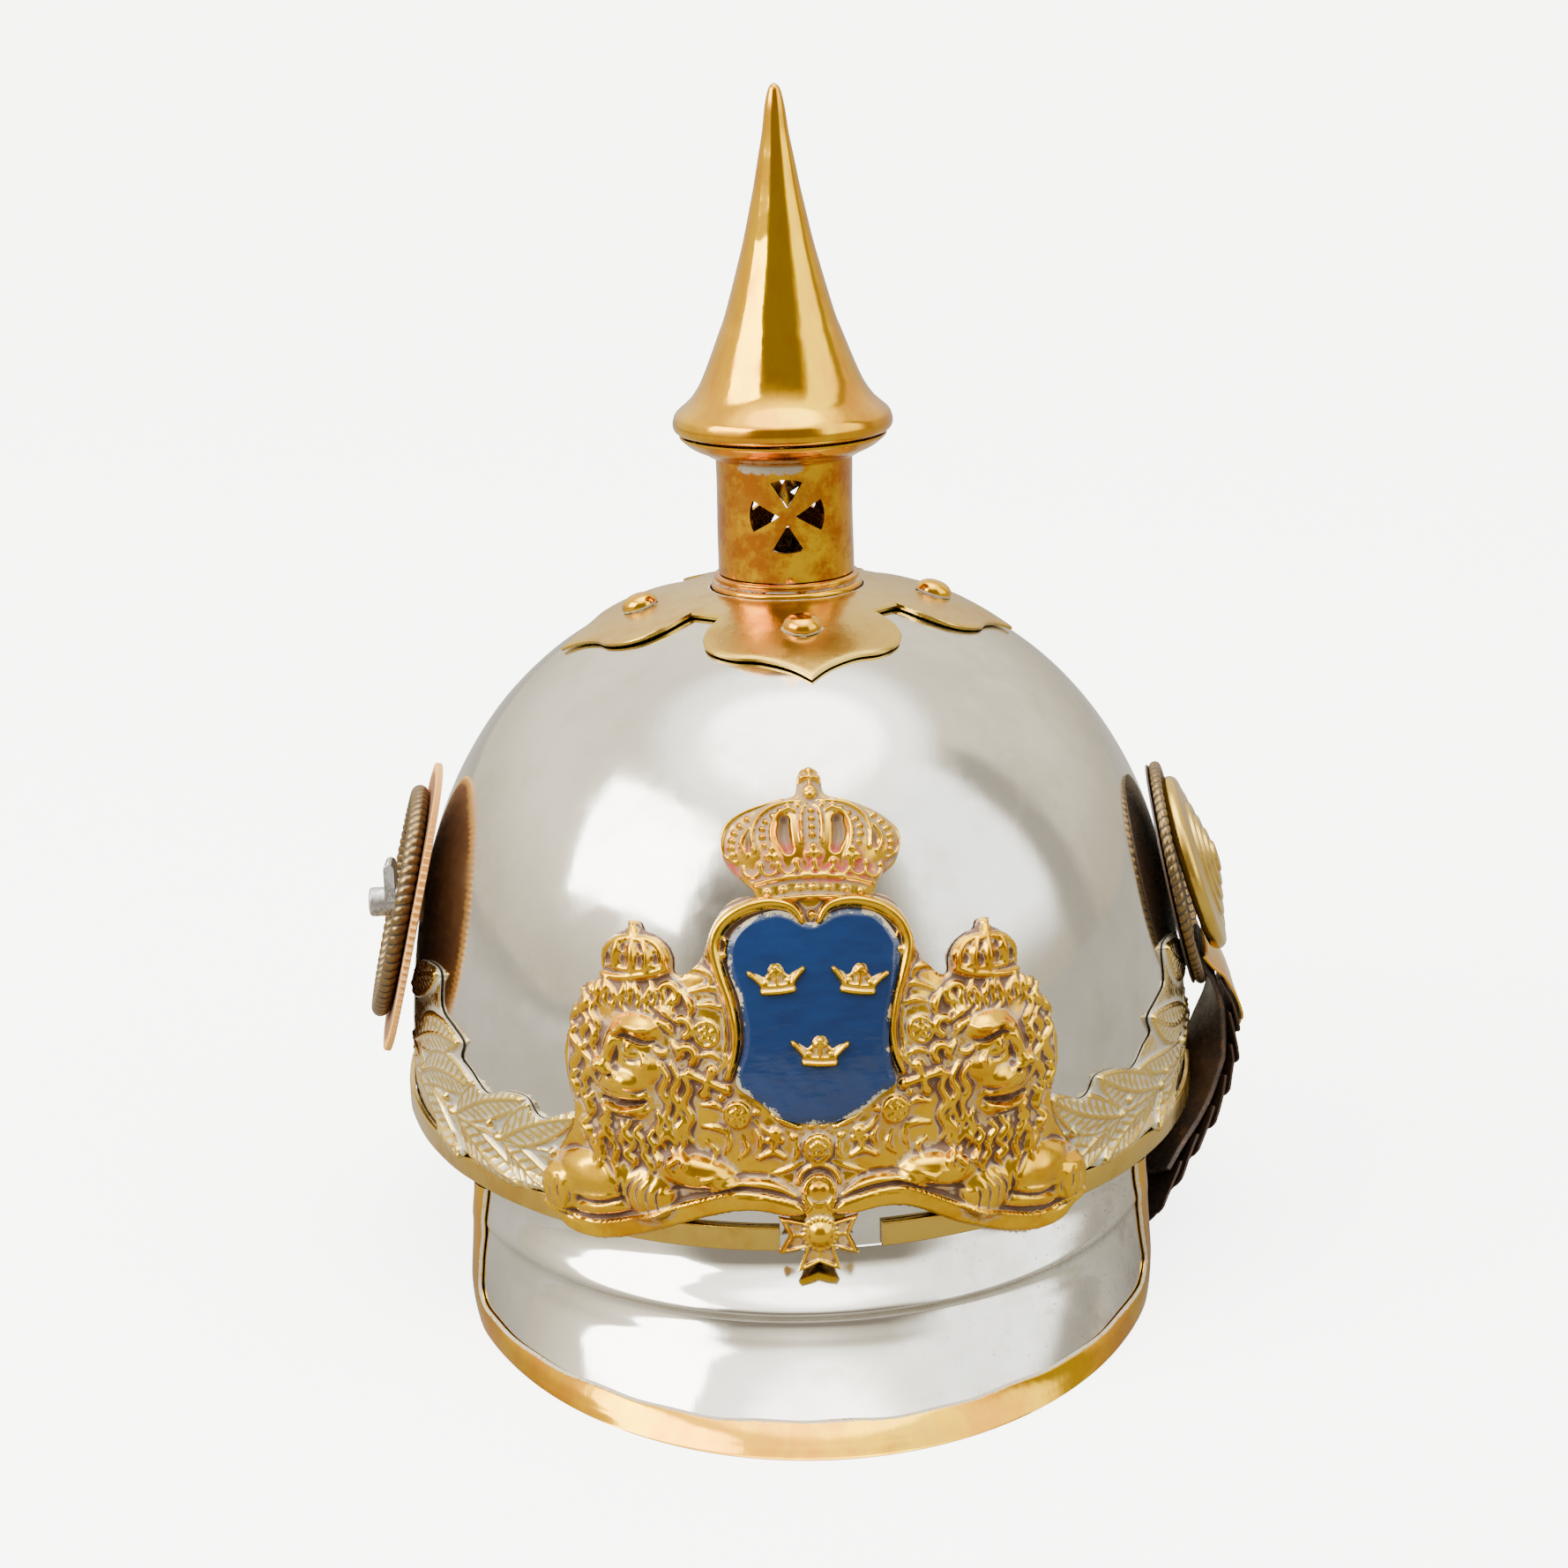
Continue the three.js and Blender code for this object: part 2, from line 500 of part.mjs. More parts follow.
// ---------------------------------------------------------------- side fittings
/** Group whose +Z stands out of the skull's side, with more turn forward and up if asked. */
function sideGroup(angle, height, forward, up) {
  const step = stepOfHeight(height);
  const foot = skullPoint(rad(angle), step);
  const out = skullPoint(rad(angle), step, 1).sub(foot);
  out.applyAxisAngle(new THREE.Vector3(0, 0, 1), rad(-Math.sign(angle) * forward));
  out.setZ(out.z + Math.tan(rad(up))).normalize();
  const group = new THREE.Group();
  group.position.copy(foot);
  group.quaternion.setFromUnitVectors(new THREE.Vector3(0, 0, 1), out);
  model.add(group);
  return group;
}

/** Dished disc with a rolled rim, standing on the plane z = base. */
function ropeDisc({ radius, rim, floor }, base) {
  const profile = [[POST.radius + GAP, base], [radius - 2 * rim, base]];
  for (let i = 0; i <= 5; i += 1) {
    const a = -Math.PI / 2 + (i / 5) * Math.PI * 1.25;
    profile.push([radius - rim + rim * Math.cos(a), base + rim + rim * Math.sin(a)]);
  }
  profile.push([radius - 2.6 * rim, base + floor + 0.4], [POST.radius + GAP, base + floor]);
  return ring(profile, 28);
}

const left = sideGroup(-86, 49, 0, 2.3);
addPiece('leather_disc', ring([
  [POST.radius + GAP, 0.5], [LEATHER_DISC.radius, 0.5],
  [LEATHER_DISC.radius, 0.5 + LEATHER_DISC.thickness], [POST.radius + GAP, 0.5 + LEATHER_DISC.thickness],
], 32), tanLeather, left).position.y = -2.4;
addPiece('rope_disc_left', ropeDisc(ROPE_LEFT, 0.5 + LEATHER_DISC.thickness + GAP), agedBrass, left);

// Steel post with an upright fin; it sticks straight out through the discs.
const postStart = left.position.x - 4.8;
const postLength = POST.reach + postStart;
const shaft = toManifold(new THREE.CylinderGeometry(POST.radius, POST.radius, postLength, 20)
  .rotateZ(Math.PI / 2).translate(-postLength / 2, 0, 0));
const finShape = new THREE.Shape();
const finHalf = POST.finThickness / 2;
finShape.moveTo(-finHalf, 0).lineTo(finHalf, 0).lineTo(finHalf, POST.radius + POST.finRise - finHalf);
finShape.absarc(0, POST.radius + POST.finRise - finHalf, finHalf, 0, Math.PI, false);
const finSize = { depth: POST.finWidth, bevelEnabled: false, curveSegments: 5 };
const finBar = new THREE.ExtrudeGeometry(finShape, finSize);
const fin = toManifold(finBar.translate(0, 0, -POST.finWidth / 2).rotateX(Math.PI / 2)
  .translate(-finHalf - 0.9, 0, 0));
const post = addPiece('post_left', toGeometry(shaft.add(fin)), steel);
post.position.set(postStart, left.position.y, left.position.z + 1);

const right = sideGroup(82.3, 52, 1, 0);
addPiece('backing_disc', ring([
  [POST.radius, GAP + 0.2], [BACKING_DISC.radius, GAP + 0.2],
  [BACKING_DISC.radius, GAP + 0.2 + BACKING_DISC.thickness],
  [POST.radius, GAP + 0.2 + BACKING_DISC.thickness],
], 28), darkLeather, right);
addPiece('rope_disc_right', ropeDisc(ROPE_RIGHT, 2 * GAP + 0.2 + BACKING_DISC.thickness), agedBrass, right);

// Stepped round boss over the chin strap's top end.
const bossGroup = sideGroup(82.3, 53, 1, 5);
const bossProfile = [[0, BOSS.rise - 1.4], [BOSS.radius - 4.6, 0.2]];
for (let i = 0; i <= 5; i += 1) {
  const a = -Math.PI * 0.85 + (i / 5) * Math.PI * 1.35;
  bossProfile.push([BOSS.radius - BOSS.rim + BOSS.rim * Math.cos(a), BOSS.rim * Math.sin(a)]);
}
for (let i = 0; i < BOSS.steps; i += 1) {
  const [outer, inner] = [lerp(17.6, 3, i / BOSS.steps), lerp(17.6, 3, (i + 0.75) / BOSS.steps)];
  const level = lerp(2.2, BOSS.rise, (i + 1) / BOSS.steps);
  bossProfile.push([outer, level], [inner, level - 0.2]);
}
bossProfile.push([0, BOSS.rise]);
const bossPiece = addPiece('boss_right', turned(bossProfile, 24), brass, bossGroup);
bossPiece.position.z = BOSS.standOff;

// ---------------------------------------------------------------- chin scales
// Middle line of the leather strap, from under the boss down to its free end.
const STRAP_LINE = new THREE.CatmullRomCurve3([
  [99.2, -14.2, 34.6], [100.7, -14.3, 31.6], [102.7, -14.5, 28.4], [103.9, -15, 25], [104, -16, 19],
  [102.9, -17.5, 11], [101.6, -20, 3], [99.8, -23.5, -5], [96.6, -28.5, -13], [91.8, -34.5, -20],
  [88.6, -38, -23.2],
].map(([x, y, z]) => new THREE.Vector3(x, y, RIM_HEIGHT + z)));
const STRAP_TURN = [[14, -8], [38, 10]]; // distance down it, and how far its face has turned back
const strapLength = STRAP_LINE.getLength();

/** Place on the strap: distance down it, distance across it and height off its middle. */
function strapPoint(down, across, lift) {
  const share = clamp(down / strapLength, 0, 1);
  const tangent = STRAP_LINE.getTangentAt(share);
  const turn = rad(along(STRAP_TURN, down));
  const face = new THREE.Vector3(Math.cos(turn), Math.sin(turn), 0);
  const side = new THREE.Vector3().crossVectors(tangent, face).normalize();
  const out = new THREE.Vector3().crossVectors(side, tangent).normalize();
  return STRAP_LINE.getPointAt(share).addScaledVector(tangent, down - share * strapLength)
    .addScaledVector(side, across).addScaledVector(out, lift);
}
const strapWidth = (down) => lerp(STRAP.topWidth, STRAP.endWidth, clamp(down / strapLength, 0, 1));

const strapFace = (lift) => (u, v) => {
  const width = strapWidth(u * strapLength) - 2;
  return strapPoint(u * (strapLength - 3), (v - 0.5) * width, lift);
};
const strapSolid = sheet(strapFace(STRAP.thickness / 2), strapFace(-STRAP.thickness / 2), 12, 1);
addPiece('strap_leather', strapSolid, darkLeather);

for (let i = 0; i < SCALES.count; i += 1) {
  const start = i * SCALES.pitch;
  const scalePoint = (height) => (u, v) => {
    const a = u * 2 - 1;
    const down = v * SCALES.length * (1 - 0.34 * (1 - Math.sqrt(1 - (0.96 * a) ** 2)));
    const width = strapWidth(start + down) + 0.5;
    const lift = STRAP.thickness / 2 + GAP + 0.35 + (SCALES.lift * down) / SCALES.length - 0.3 * a * a;
    return strapPoint(start + down, (a * width) / 2, lift + height);
  };
  addPiece(`chin_scale_${i + 1}`, sheet(scalePoint(SCALES.sheet), scalePoint(0), 6, 3), brass);
}

// ---------------------------------------------------------------- centre the model
const group = new THREE.Group();
group.add(model);
const bounds = new THREE.Box3().setFromObject(model, true);
const middle = bounds.getCenter(new THREE.Vector3());
model.position.set(-middle.x, -middle.y, -bounds.min.z);

export default group;
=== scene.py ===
import bmesh
import bpy
import numpy as np
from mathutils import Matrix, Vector


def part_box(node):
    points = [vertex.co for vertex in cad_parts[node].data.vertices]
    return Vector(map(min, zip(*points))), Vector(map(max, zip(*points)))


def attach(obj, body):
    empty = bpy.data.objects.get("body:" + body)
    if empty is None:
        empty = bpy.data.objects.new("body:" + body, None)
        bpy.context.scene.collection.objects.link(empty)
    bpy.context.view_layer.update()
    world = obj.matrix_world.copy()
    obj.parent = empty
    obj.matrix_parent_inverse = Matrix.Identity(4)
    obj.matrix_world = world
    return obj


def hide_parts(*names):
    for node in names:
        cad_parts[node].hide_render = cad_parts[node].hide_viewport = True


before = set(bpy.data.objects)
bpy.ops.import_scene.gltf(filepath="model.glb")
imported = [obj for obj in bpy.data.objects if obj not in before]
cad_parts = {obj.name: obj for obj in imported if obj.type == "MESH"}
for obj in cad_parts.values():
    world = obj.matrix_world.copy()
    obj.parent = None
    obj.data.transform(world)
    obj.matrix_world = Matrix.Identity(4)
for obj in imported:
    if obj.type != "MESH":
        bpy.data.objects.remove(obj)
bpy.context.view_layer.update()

# Looks of a spiked cavalry parade helmet. Shapes are worked out in millimetres about the skull's
# axis, with z = 0 at its lower rim, the front facing -Y and the wearer's left at +X.
RIM_HEIGHT = 34
skull_low, skull_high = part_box("skull")
ORIGIN = np.array([(skull_low.x + skull_high.x) / 2, (skull_low.y + skull_high.y) / 2, skull_low.z]) * 1000

SKULL = {
    "half_width": 97, "depth_ratio": 1.13, "rise": 124.8, "side": 2 / 2.578, "top": 2 / 2.333, "wall": 1.2,
}
VENT_HOLE_RADIUS = 12
GAP = 0.3
BAND = {"height": 5.6, "thickness": 1.3, "rounding": 0.4, "start": 0.14, "end": 0.09}
VISOR = {
    "half_angle": 53.5, "spread": 1.375, "edge_x": 84, "edge_y": 109.5, "centre_y": -30, "front": 1,
    "corner": 0.88, "corner_drop": 0.26, "fold_dip": 0.11, "size": (100, 44), "wander": 1.0,
}
NAPE = {
    "half_angle": 77, "spread": 1.1, "edge_x": 88, "edge_y": 130, "centre_y": 20, "front": -1,
    "corner": 0.6, "corner_drop": 0.62, "fold_dip": 0.0, "size": (150, 50), "wander": 2.0,
}
GUARD_WALL = 1.0
EDGE_HEIGHT = 1.2
TRIM = {"width": 5.2, "lip": 3.6, "sheet": 0.6, "clearance": 0.28, "cap": 0.85, "cap_below": 2.2}
NECK = {"radius": 16.5, "wall": 1.2, "bottom": 129, "top": 158.5}
COLLAR = {"bottom": 124.6, "top": 128.7}
VENT = {"height": 145, "inner": 1.9, "outer": 8.9, "half_angle": 25}
CROSS = {"yaw": 3.5, "seat": 0.45, "thickness": 1.0, "inner": 18.6}
STUD = {"radius": 4.5, "seat": 35.5, "rise": 3.2}
LEATHER_DISC = {"radius": 36, "thickness": 2.3, "teeth": 120, "tooth": 1.2}
ROPE_LEFT = {"radius": 29, "rim": 2.1, "floor": 0.9}
ROPE_RIGHT = {"radius": 28, "rim": 1.35, "floor": 0.7}
BACKING_DISC = {"radius": 27.5, "thickness": 0.5}
BOSS = {"radius": 22.2, "rim": 2.1, "rise": 6.2, "steps": 5, "stand_off": 7}
POST = {"radius": 3.65, "reach": 105.5, "fin_thickness": 2.8, "fin_rise": 6.8, "fin_width": 7}
SCALES = {"count": 8, "pitch": 8.6, "length": 15.5, "sheet": 0.7, "lift": 3.0}
STRAP = {"thickness": 1.4, "top_width": 25, "end_width": 17}
FIELD_TOP = 3.0  # height of the enamel over the skull
ROPE_STRANDS = 73
CAP_ZONE = (0.113, 0.115, 0.120, 0.1225)  # metres above the floor, where the badge's cap is red
JOINT_ZONE = (0.158, 0.163, 0.188, 0.196)  # metres above the floor, where soldering browned the brass
HELMET_MIDDLE = 0.12  # metres above the floor
VIEW = {"lens": 67.31, "place": (-22.35, -699.65, 277.9), "yaw": 0.02908, "pitch": 0.28276, "lean": -0.02665}

# ---------------------------------------------------------------- mesh tools


def unit(vectors):
    """Vectors divided by their lengths."""
    return vectors / np.linalg.norm(vectors, axis=-1, keepdims=True)


def smooth_step(value, low, high):
    """0 below low, 1 above high, and a smooth climb between them."""
    t = np.clip((value - low) / (high - low), 0, 1)
    return t * t * (3 - 2 * t)


def smooth_line(points, per_span=6, closed=False):
    """Catmull-Rom curve: a cubic between each two points, steered by their neighbours."""
    p = np.asarray(points, float)
    if closed:
        p = np.concatenate([p[-1:], p, p[:2]])
    else:
        p = np.concatenate([2 * p[:1] - p[1:2], p, 2 * p[-1:] - p[-2:-1]])
    a, b, c, d = p[:-3, None], p[1:-2, None], p[2:-1, None], p[3:, None]
    t = (np.arange(per_span) / per_span)[None, :, None]
    curve = 0.5 * (2 * b + (c - a) * t + (2 * a - 5 * b + 4 * c - d) * t**2 + (3 * b - a - 3 * c + d) * t**3)
    curve = curve.reshape(-1, p.shape[1])
    return curve if closed else np.concatenate([curve, p[-2:-1]])


def ripple(points, wavelength, seed):
    """Soft random waves from -1 to 1: the mean of eight plane waves in random directions."""
    random = np.random.default_rng(seed)
    directions = unit(random.normal(size=(8, 3))) * (2 * np.pi / wavelength)
    phases = random.uniform(0, 2 * np.pi, 8)
    return np.sin(points @ directions.T + phases).mean(axis=-1) * 2


def bands(index, wrap_rows=False, wrap_columns=False):
    """Quads between neighbouring rows and columns of a table of vertex numbers."""
    if wrap_rows:
        index = np.concatenate([index, index[:1]])
    if wrap_columns:
        index = np.concatenate([index, index[:, :1]], axis=1)
    corners = (index[:-1, :-1], index[1:, :-1], index[1:, 1:], index[:-1, 1:])
    return np.stack(corners, axis=-1).reshape(-1, 4)


def tube(points, closed=False):
    """Closed skin over a grid whose rows are closed sections; open ends are capped with quads."""
    rows, size = points.shape[:2]
    index = np.arange(rows * size).reshape(rows, size)
    faces = [bands(index, closed, True)]
    if not closed:
        j = np.arange((size - 1) // 2)
        for line in (index[0], index[-1, ::-1]):
            faces.append(np.stack([line[j], line[j + 1], line[size - 2 - j], line[size - 1 - j]], axis=-1))
    return points, np.concatenate(faces)


def shell(outer, inner, closed=False):
    """Skin over two facing grids: each row of outer runs on into the inner one, backwards."""
    return tube(np.concatenate([outer, inner[:, ::-1]], axis=1), closed)


def disc_places(radius, height, turn):
    """Places round the Z axis, with turn counted from the front towards +X."""
    return np.stack(np.broadcast_arrays(radius * np.sin(turn), -radius * np.cos(turn), height), axis=-1)


def turned(profile, columns, ring=True):
    """Profile of (radius, height) carried round Z; a ring's closes on itself, another ends on the axis."""
    turn = np.linspace(0, 2 * np.pi, columns, endpoint=False)[:, None]
    radius, height = np.asarray(profile, float).T
    points = disc_places(radius, height, turn)
    index = np.arange(points.shape[0] * points.shape[1]).reshape(points.shape[:2])
    return points, bands(index, True, ring)


def make_piece(name, skin, material, nodes, marks=None, bevel=0.0, crease=38):
    """
    Object from a skin of points in millimetres and quads, with faces turned outwards by its signed
    volume. A mark is a number for each point, or whatever spreads over the points' grid.
    """
    points, faces = skin
    grid = points.shape[:-1]
    points = (points.reshape(-1, 3) + ORIGIN) / 1000
    corners = points[faces] - points.mean(axis=0)
    volume = (np.cross(corners[:, 0], corners[:, 1]) * corners[:, 2]).sum()
    volume += (np.cross(corners[:, 0], corners[:, 2]) * corners[:, 3]).sum()
    if volume < 0:
        faces = faces[:, ::-1]
    mesh = bpy.data.meshes.new(name)
    mesh.vertices.add(len(points))
    mesh.vertices.foreach_set("co", points.ravel())
    mesh.loops.add(faces.size)
    mesh.loops.foreach_set("vertex_index", np.ascontiguousarray(faces, dtype=np.int32).ravel())
    mesh.polygons.add(len(faces))
    mesh.polygons.foreach_set("loop_start", np.arange(0, faces.size, 4, dtype=np.int32))
    for mark, values in (marks or {}).items():
        attribute = mesh.attributes.new(mark, "FLOAT", "POINT")
        attribute.data.foreach_set("value", np.broadcast_to(values, grid).astype(np.float32).ravel())
    mesh.update(calc_edges=True)
    welded = bmesh.new()
    welded.from_mesh(mesh)
    bmesh.ops.remove_doubles(welded, verts=welded.verts, dist=1e-6)
    welded.to_mesh(mesh)
    welded.free()
    mesh.shade_smooth()
    mesh.set_sharp_from_angle(angle=np.radians(crease))
    mesh.materials.append(material)
    piece = bpy.data.objects.new(name, mesh)
    bpy.context.scene.collection.objects.link(piece)
    if bevel:
        rounding = piece.modifiers.new("Rounded edges", "BEVEL")
        rounding.width = bevel / 1000
        rounding.segments = 2
        rounding.limit_method = "ANGLE"
        rounding.angle_limit = np.radians(crease)
    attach(piece, "root")
    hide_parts(*nodes)
    return piece


# ---------------------------------------------------------------- finishes


class Nodes:
    """Short names for the nodes of one tree; a socket takes a number, a colour or another socket."""

    def __init__(self, tree):
        self.tree = tree

    def add(self, kind, values, output=0, **settings):
        node = self.tree.nodes.new("ShaderNode" + kind)
        for name, value in settings.items():
            setattr(node, name, value)
        for socket, value in values.items():
            self.put(node.inputs[socket], value)
        return node.outputs[output]

    def put(self, socket, value):
        if isinstance(value, bpy.types.NodeSocket):
            self.tree.links.new(value, socket)
        elif isinstance(value, tuple) and len(value) == 3 and socket.type == "RGBA":
            socket.default_value = (*value, 1)
        else:
            socket.default_value = value

    def object_place(self):
        return self.add("TexCoord", {}, "Object")

    def mark(self, name):
        return self.add("Attribute", {}, "Fac", attribute_name=name)

    def stretched(self, vector, scale):
        return self.add("Mapping", {"Vector": vector, "Scale": scale})

    def noise(self, vector, scale, detail=3.0, roughness=0.55):
        values = {"Vector": vector, "Scale": scale, "Detail": detail, "Roughness": roughness}
        return self.add("TexNoise", values)

    def math(self, operation, a, b=0.0):
        return self.add("Math", {0: a, 1: b}, operation=operation)

    def fit(self, value, low, high, to_low=0.0, to_high=1.0):
        values = {"Value": value, "From Min": low, "From Max": high, "To Min": to_low, "To Max": to_high}
        return self.add("MapRange", values, interpolation_type="SMOOTHSTEP")

    def mix(self, factor, a, b):
        node = self.tree.nodes.new("ShaderNodeMix")
        node.data_type = "RGBA"
        self.put(node.inputs[0], factor)
        self.put(node.inputs[6], a)
        self.put(node.inputs[7], b)
        return node.outputs[2]

    def bump(self, height, strength, distance, normal=None):
        values = {"Height": height, "Strength": strength, "Distance": distance}
        if normal:
            values["Normal"] = normal
        return self.add("Bump", values)

    def group(self, tree, values, output):
        node = self.tree.nodes.new("ShaderNodeGroup")
        node.node_tree = tree
        for socket, value in values.items():
            self.put(node.inputs[socket], value)
        return node.outputs[output]


def effect(name, inputs, outputs, build):
    """Node group shared by several finishes; build gets its nodes and inputs, and returns its outputs."""
    tree = bpy.data.node_groups.new(name, "ShaderNodeTree")
    for socket, kind in inputs:
        tree.interface.new_socket(socket, in_out="INPUT", socket_type="NodeSocket" + kind)
    for socket, kind in outputs:
        tree.interface.new_socket(socket, in_out="OUTPUT", socket_type="NodeSocket" + kind)
    given = tree.nodes.new("NodeGroupInput")
    result = tree.nodes.new("NodeGroupOutput")
    for socket, value in build(Nodes(tree), given.outputs).items():
        tree.links.new(value, result.inputs[socket])
    return tree


def build_clouds(n, given):
    broad = n.noise(given["Vector"], given["Size"], 4.0, 0.6)
    fine = n.noise(given["Vector"], n.math("MULTIPLY", given["Size"], 6.0), 5.0, 0.65)
    together = n.math("ADD", n.math("MULTIPLY", broad, 0.7), n.math("MULTIPLY", fine, 0.3))
    return {"Mask": n.fit(together, given["Low"], given["High"])}


def build_wear(n, given):
    """Hand polish: cloudy unevenness with finer scratches laid over it, out as a normal."""
    cloud = n.noise(given["Vector"], given["Size"], 3.0, 0.5)
    brushed = n.stretched(given["Vector"], (1.0, 0.35, 0.12))
    streaks = n.noise(brushed, n.math("MULTIPLY", given["Size"], 14.0), 2.0)
    pitted = n.bump(streaks, given["Scratches"], 0.00004)
    return {"Normal": n.bump(cloud, given["Unevenness"], 0.0006, pitted)}


def build_hollow_mask(n, given):
    """Polish paste and dirt left in hollows, and on the stamped brass painted shade in the deepest creases:
    the hollow mark, broken up by fine noise.
    """
    grain = n.noise(given["Vector"], given["Size"], 4.0, 0.7)
    swing = n.math("MULTIPLY", n.math("SUBTRACT", grain, 0.5), given["Break"])
    broken = n.math("ADD", given["Hollow"], swing)
    return {"Mask": n.fit(broken, given["Low"], given["High"])}


def numbers(*names):
    """Inputs of an effect: a place and some numbers."""
    return [("Vector", "Vector")] + [(name, "Float") for name in names]


MASK = [("Mask", "Float")]
NORMAL = [("Normal", "Vector")]
CLOUDS = effect("Tarnish clouds", numbers("Size", "Low", "High"), MASK, build_clouds)
WEAR = effect("Polishing wear", numbers("Size", "Unevenness", "Scratches"), NORMAL, build_wear)
HOLLOW_MASK = effect("Hollow mask", numbers("Hollow", "Size", "Break", "Low", "High"), MASK, build_hollow_mask)


def finish_named(name, build, **constants):
    """Material whose Principled shader takes constants on its own sockets and the rest from build."""
    material = bpy.data.materials.new(name)
    material.use_nodes = True
    tree = material.node_tree
    shader = tree.nodes["Principled BSDF"]
    for socket, value in constants.items():
        shader.inputs[socket.replace("_", " ")].default_value = value
    n = Nodes(tree)
    for socket, value in build(n, n.object_place()).items():
        n.put(shader.inputs[socket], value)
    return material


def clouds(n, place, size, low, high):
    return n.group(CLOUDS, {"Vector": place, "Size": size, "Low": low, "High": high}, "Mask")


def wear(n, place, size, unevenness, scratches):
    values = {"Vector": place, "Size": size, "Unevenness": unevenness, "Scratches": scratches}
    return n.group(WEAR, values, "Normal")


def hollow_mask(n, place, size, spread, low, high):
    values = {"Hollow": n.mark("hollow"), "Size": size, "Break": spread, "Low": low, "High": high}
    return n.group(HOLLOW_MASK, {"Vector": place, **values}, "Mask")


def zone(n, place, start, full, fading, gone):
    """Mask that climbs between two heights above the floor and fades between two higher ones."""
    height = n.add("SeparateXYZ", {0: place}, 2)
    return n.math("MULTIPLY", n.fit(height, start, full), n.fit(height, gone, fading))


def two_toned_metal(n, place, lodged, metal, lodged_colour, metallic, roughness, worn):
    """Metal with another colour where the lodged mask says so: paste, dirt, silvering, and on the stamped
    brass also painted shade in its deepest creases; metallic and roughness are given clean and lodged.
    """
    return {
        "Base Color": n.mix(lodged, metal, lodged_colour),
        "Metallic": n.fit(lodged, 0.0, 1.0, *metallic),
        "Roughness": n.fit(lodged, 0.0, 1.0, *roughness),
        "Normal": wear(n, place, *worn),
    }


def white_metal(n, place):
    """Hand-rubbed white metal: hazy patches, and where the stain-and-shade mark says so, grey stains and
    pits, which on the side turned from the key light are painted shade.
    """
    dull = clouds(n, place, 17.0, 0.42, 0.66)
    stain_and_shade = clouds(n, place, 80.0, 0.50, 0.68)
    pits = n.fit(n.noise(place, 1300.0, 2.0), 0.66, 0.72)
    # Mark for grey patches and pits: real stains, and on the +X side, turned from the key light, painted
    # shade.
    worn = n.mark("stain_and_shade")
    stained_and_shaded = n.math("MULTIPLY", n.math("MAXIMUM", n.math("MULTIPLY", stain_and_shade, 0.55), pits), worn)
    tone = n.mix(dull, (0.66, 0.64, 0.58), (0.52, 0.49, 0.42))
    return {
        "Base Color": n.mix(stained_and_shaded, tone, (0.24, 0.21, 0.17)),
        "Roughness": n.math("ADD", n.fit(dull, 0.0, 1.0, 0.09, 0.23), n.math("MULTIPLY", stained_and_shaded, 0.25)),
        "Normal": wear(n, place, 26.0, 0.34, 0.3),
    }


def polished_brass(n, place):
    """Bright brass with an orange bloom, browned at the joints, with pale rubbed spots and a little paste."""
    warm = clouds(n, n.stretched(place, (1.0, 1.0, 0.3)), 38.0, 0.40, 0.60)
    pale = clouds(n, place, 26.0, 0.54, 0.70)
    gold = n.mix(warm, (0.70, 0.40, 0.0), (0.60, 0.26, 0.01))
    browned = n.math("MULTIPLY", zone(n, place, *JOINT_ZONE), clouds(n, place, 110.0, 0.40, 0.58))
    gold = n.mix(browned, gold, (0.42, 0.13, 0.01))
    lodged = hollow_mask(n, place, 700.0, 0.9, 0.75, 1.0)
    tone = n.mix(n.math("MULTIPLY", pale, 0.4), gold, (0.52, 0.36, 0.03))
    return {
        "Base Color": n.mix(lodged, tone, (0.42, 0.38, 0.30)),
        "Metallic": n.fit(lodged, 0.0, 1.0, 1.0, 0.2),
        "Roughness": n.math("ADD", n.fit(warm, 0.0, 1.0, 0.07, 0.17), n.math("MULTIPLY", lodged, 0.4)),
        "Normal": wear(n, place, 60.0, 0.4, 0.35),
    }


def satin_brass(n, place):
    """Brushed brass, warmer in patches, with grey paste in the corners."""
    warm = clouds(n, place, 40.0, 0.44, 0.66)
    gold = n.mix(warm, (0.58, 0.39, 0.07), (0.48, 0.28, 0.04))
    lodged = hollow_mask(n, place, 600.0, 0.9, 0.62, 0.95)
    return {
        "Base Color": n.mix(lodged, gold, (0.40, 0.34, 0.25)),
        "Metallic": n.fit(lodged, 0.0, 1.0, 1.0, 0.1),
        "Roughness": n.math("ADD", n.fit(warm, 0.0, 1.0, 0.22, 0.34), n.math("MULTIPLY", lodged, 0.3)),
        "Normal": wear(n, place, 90.0, 0.4, 0.5),
    }


def rope_bronze(n, place):
    """Dark bronze, nearly black between the strands."""
    dark = hollow_mask(n, place, 500.0, 0.7, 0.3, 0.8)
    bronze, black = (0.20, 0.13, 0.055), (0.022, 0.016, 0.010)
    return two_toned_metal(n, place, dark, bronze, black, (0.95, 0.3), (0.30, 0.6), (250.0, 0.5, 0.6))


def scale_brass_darker_below(n, place):
    """Brass that is golden on the upper scales and goes brown-black on the lower ones: darker towards the
    bottom.
    """
    dark = hollow_mask(n, place, 300.0, 1.0, 0.15, 0.75)
    height = n.add("SeparateXYZ", {0: place}, 2)
    # Darker towards the bottom, by height above the floor.
    gold = n.mix(n.fit(height, 0.118, 0.085), (0.62, 0.38, 0.08), (0.16, 0.075, 0.03))
    return two_toned_metal(n, place, dark, gold, (0.045, 0.022, 0.012), (1.0, 0.3), (0.24, 0.55), (250.0, 0.5, 0.6))


